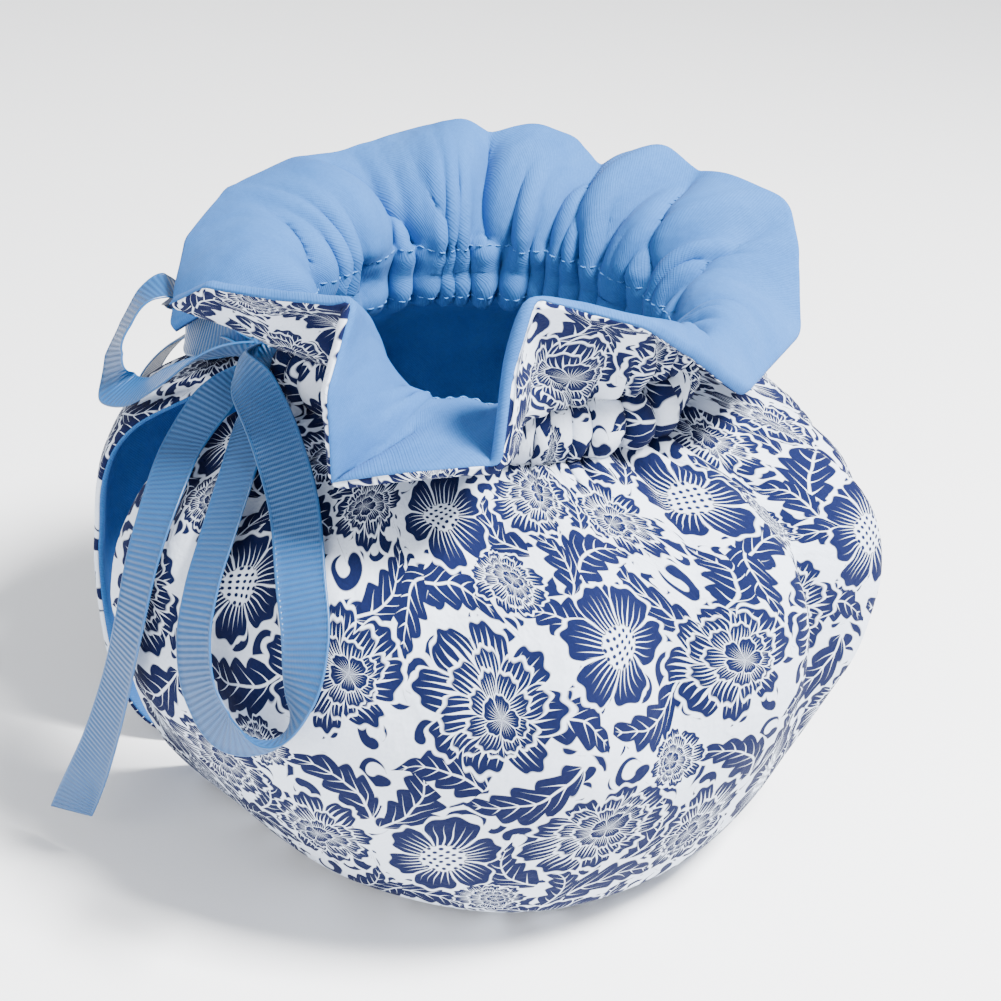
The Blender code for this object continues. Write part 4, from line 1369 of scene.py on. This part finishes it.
def ribbon_knot(material):
    """The band of ribbon wrapped round the strands: a rounded barrel with its axis along y. Its radius is
    nearly even along the middle and closes at both ends, with pleats that run round it and ribs across."""
    along = np.sin(np.linspace(-0.5, 0.5, KNOT_STEPS[0]) * math.pi)[1:-1, None]
    around = np.linspace(0.0, 2.0 * math.pi, KNOT_STEPS[1], endpoint=False)
    barrel = (1.0 - np.abs(along) ** KNOT_SQUARENESS) ** 0.5
    pleat = KNOT_PLEAT_HEIGHT * np.cos(math.pi * KNOT_PLEATS * along + 0.9 * np.sin(around + 0.6))
    rib = KNOT_RIB_HEIGHT * np.cos(KNOT_RIBS * around)
    radius = barrel * (1.0 + KNOT_OVAL * np.sin(2.0 * around + 1.0)) + (pleat + rib) * barrel
    x, y, z = np.broadcast_arrays(radius * np.cos(around), along, radius * np.sin(around))
    points = KNOT_CENTRE + np.stack([x, y, z], axis=-1) * KNOT_REACH
    ends = KNOT_CENTRE + np.array(((0.0, -1.0, 0.0), (0.0, 1.0, 0.0))) * KNOT_REACH
    rows, cols = points.shape[:2]
    number = np.arange(rows * cols).reshape(rows, cols)
    wrapped = np.concatenate([number, number[:, :1]], axis=1)
    sides = quads(wrapped, True)
    low, high = rows * cols, rows * cols + 1
    first = np.stack([wrapped[0, 1:], np.full(cols, low), wrapped[0, :-1]], axis=-1)
    last = np.stack([wrapped[-1, :-1], np.full(cols, high), wrapped[-1, 1:]], axis=-1)
    uv = np.stack(np.broadcast_arrays(around * KNOT_RIBS * RIB / (2.0 * math.pi), along * 4.0), axis=-1)
    uv = np.concatenate([uv.reshape(-1, 2), np.zeros((2, 2))])
    faces = sides.tolist() + first.tolist() + last.tolist()
    knot = new_piece("ribbon_knot", np.concatenate([points.reshape(-1, 3), ends]), faces, uv, material)
    return knot


ribbon_knot(grosgrain)

# The stitches
STITCH_PITCH = 2.7
STITCH_LENGTH = 2.0
STITCH_RISE = 0.3
STITCH_SUNK = 0.12
ROW_MARGIN = 3.0
THREAD_RADIUS = 0.2
THREAD_SIDES = 6
THREAD_STEPS = 6


def stitch_row(name, side, row, material):
    """One row of running stitches on a visible face: every STITCH_PITCH along the row, a thread that
    rises out of the cloth, lies on it and dips back in, as a tube whose ends close to a point."""
    line = np.concatenate([parts[side][0][row], parts[side][1][row][1:]])
    under = np.concatenate([parts[side + "_back"][0][row], parts[side + "_back"][1][row][1:]])
    out = unit(line - under)
    run = run_length(line[:, None], 0)[:, 0]
    start = np.arange(ROW_MARGIN, run[-1] - ROW_MARGIN - STITCH_LENGTH, STITCH_PITCH)
    v = np.linspace(0.0, 1.0, THREAD_STEPS)
    s = start[:, None] + STITCH_LENGTH * v
    centre = np.stack([np.interp(s, run, line[:, k]) for k in range(3)], axis=-1)
    normal = unit(np.stack([np.interp(s, run, out[:, k]) for k in range(3)], axis=-1))
    along = unit(np.gradient(centre, axis=1))
    beside = unit(np.cross(along, normal))
    centre = centre + normal * (STITCH_RISE * np.sin(math.pi * v) - STITCH_SUNK)[:, None]
    a = np.linspace(0.0, 2.0 * math.pi, THREAD_SIDES, endpoint=False)[:, None]
    ring = np.cos(a) * beside[:, :, None] + np.sin(a) * normal[:, :, None]
    thick = THREAD_RADIUS * np.sqrt(np.sin(math.pi * np.clip(v, 0.06, 0.94)))
    points = centre[:, :, None] + ring * thick[:, None, None]
    count, rows, cols = points.shape[:3]
    number = np.arange(rows * cols).reshape(rows, cols)
    one = quads(np.concatenate([number, number[:, :1]], axis=1))
    step = (np.arange(count) * rows * cols)[:, None, None]
    faces = (one + step).reshape(-1, 4).tolist()
    faces += (number[0] + step[:, 0]).tolist() + (number[-1, ::-1] + step[:, 0]).tolist()
    piece = new_piece(name, points.reshape(-1, 3), faces, None, material)
    return piece


blue_thread = thread_material("blue_thread", LIGHT_THREAD_BLUE, SHADED_THREAD_BLUE)
white_thread = thread_material("white_thread", LIGHT_THREAD_WHITE, SHADED_THREAD_WHITE)
lower_row = int(np.abs(body_s - lower_stitch).argmin())
upper_row = len(body_s) - 1
for place, row in (("lower", lower_row), ("upper", upper_row)):
    stitch_row("lining_stitches_" + place, "lining", row, blue_thread)
    stitch_row("print_stitches_" + place, "print", row, white_thread)

# Floor, light and camera
FLOOR_REACH = 3.0
floor_mesh = bpy.data.meshes.new("floor")
corners = [(-FLOOR_REACH, -FLOOR_REACH, 0), (FLOOR_REACH, -FLOOR_REACH, 0)]
corners += [(FLOOR_REACH, FLOOR_REACH, 0), (-FLOOR_REACH, FLOOR_REACH, 0)]
floor_mesh.from_pydata(corners, [], [(0, 1, 2, 3)])
floor = bpy.data.objects.new("floor", floor_mesh)
floor_mesh.materials.append(floor_material())
bpy.context.scene.collection.objects.link(floor)

world = bpy.data.worlds.new("studio")
world.use_nodes = True
background = world.node_tree.nodes["Background"]
background.inputs["Color"].default_value = (0.93, 0.96, 1.0, 1.0)
background.inputs["Strength"].default_value = 0.8
bpy.context.scene.world = world

LIGHTS_AIM = Vector((0.0, 0.0, 0.06))


def area_light(name, place, size, power):
    """A soft square light in metres and watts, aimed at the cosy's middle."""
    light = bpy.data.lights.new(name, "AREA")
    light.size = size
    light.energy = power
    lamp = bpy.data.objects.new(name, light)
    lamp.location = place
    lamp.rotation_euler = (LIGHTS_AIM - Vector(place)).to_track_quat("-Z", "Y").to_euler()
    bpy.context.scene.collection.objects.link(lamp)


area_light("key", (0.42, -0.28, 0.95), 0.26, 54.0)
area_light("fill", (-0.7, -0.8, 0.6), 0.7, 8.0)

CAMERA_PLACE = np.array((-91.16, -357.26, 261.24))
CAMERA_TARGET = np.array((4.82, 0.94, 64.06))
CAMERA_ROLL = 5.0
CAMERA_LENS = 66.5


def set_camera():
    """Camera at the photograph's angle: placed, aimed and rolled about its line of sight."""
    ahead = unit(CAMERA_TARGET - CAMERA_PLACE)
    right = unit(np.cross(ahead, (0.0, 0.0, 1.0)))
    up = np.cross(right, ahead)
    r = math.radians(CAMERA_ROLL)
    across, upward = right * math.cos(r) + up * math.sin(r), up * math.cos(r) - right * math.sin(r)
    matrix = np.eye(4)
    matrix[:3, :3] = np.stack([across, upward, -ahead], axis=1)
    matrix[:3, 3] = (CAMERA_PLACE + CENTRING) * MM
    data = bpy.data.cameras.new("camera")
    data.lens = CAMERA_LENS
    data.sensor_width = 36.0
    data.clip_start = 0.01
    data.clip_end = 20.0
    camera = bpy.data.objects.new("camera", data)
    camera.matrix_world = Matrix(matrix.tolist())
    bpy.context.scene.collection.objects.link(camera)
    bpy.context.scene.camera = camera


set_camera()
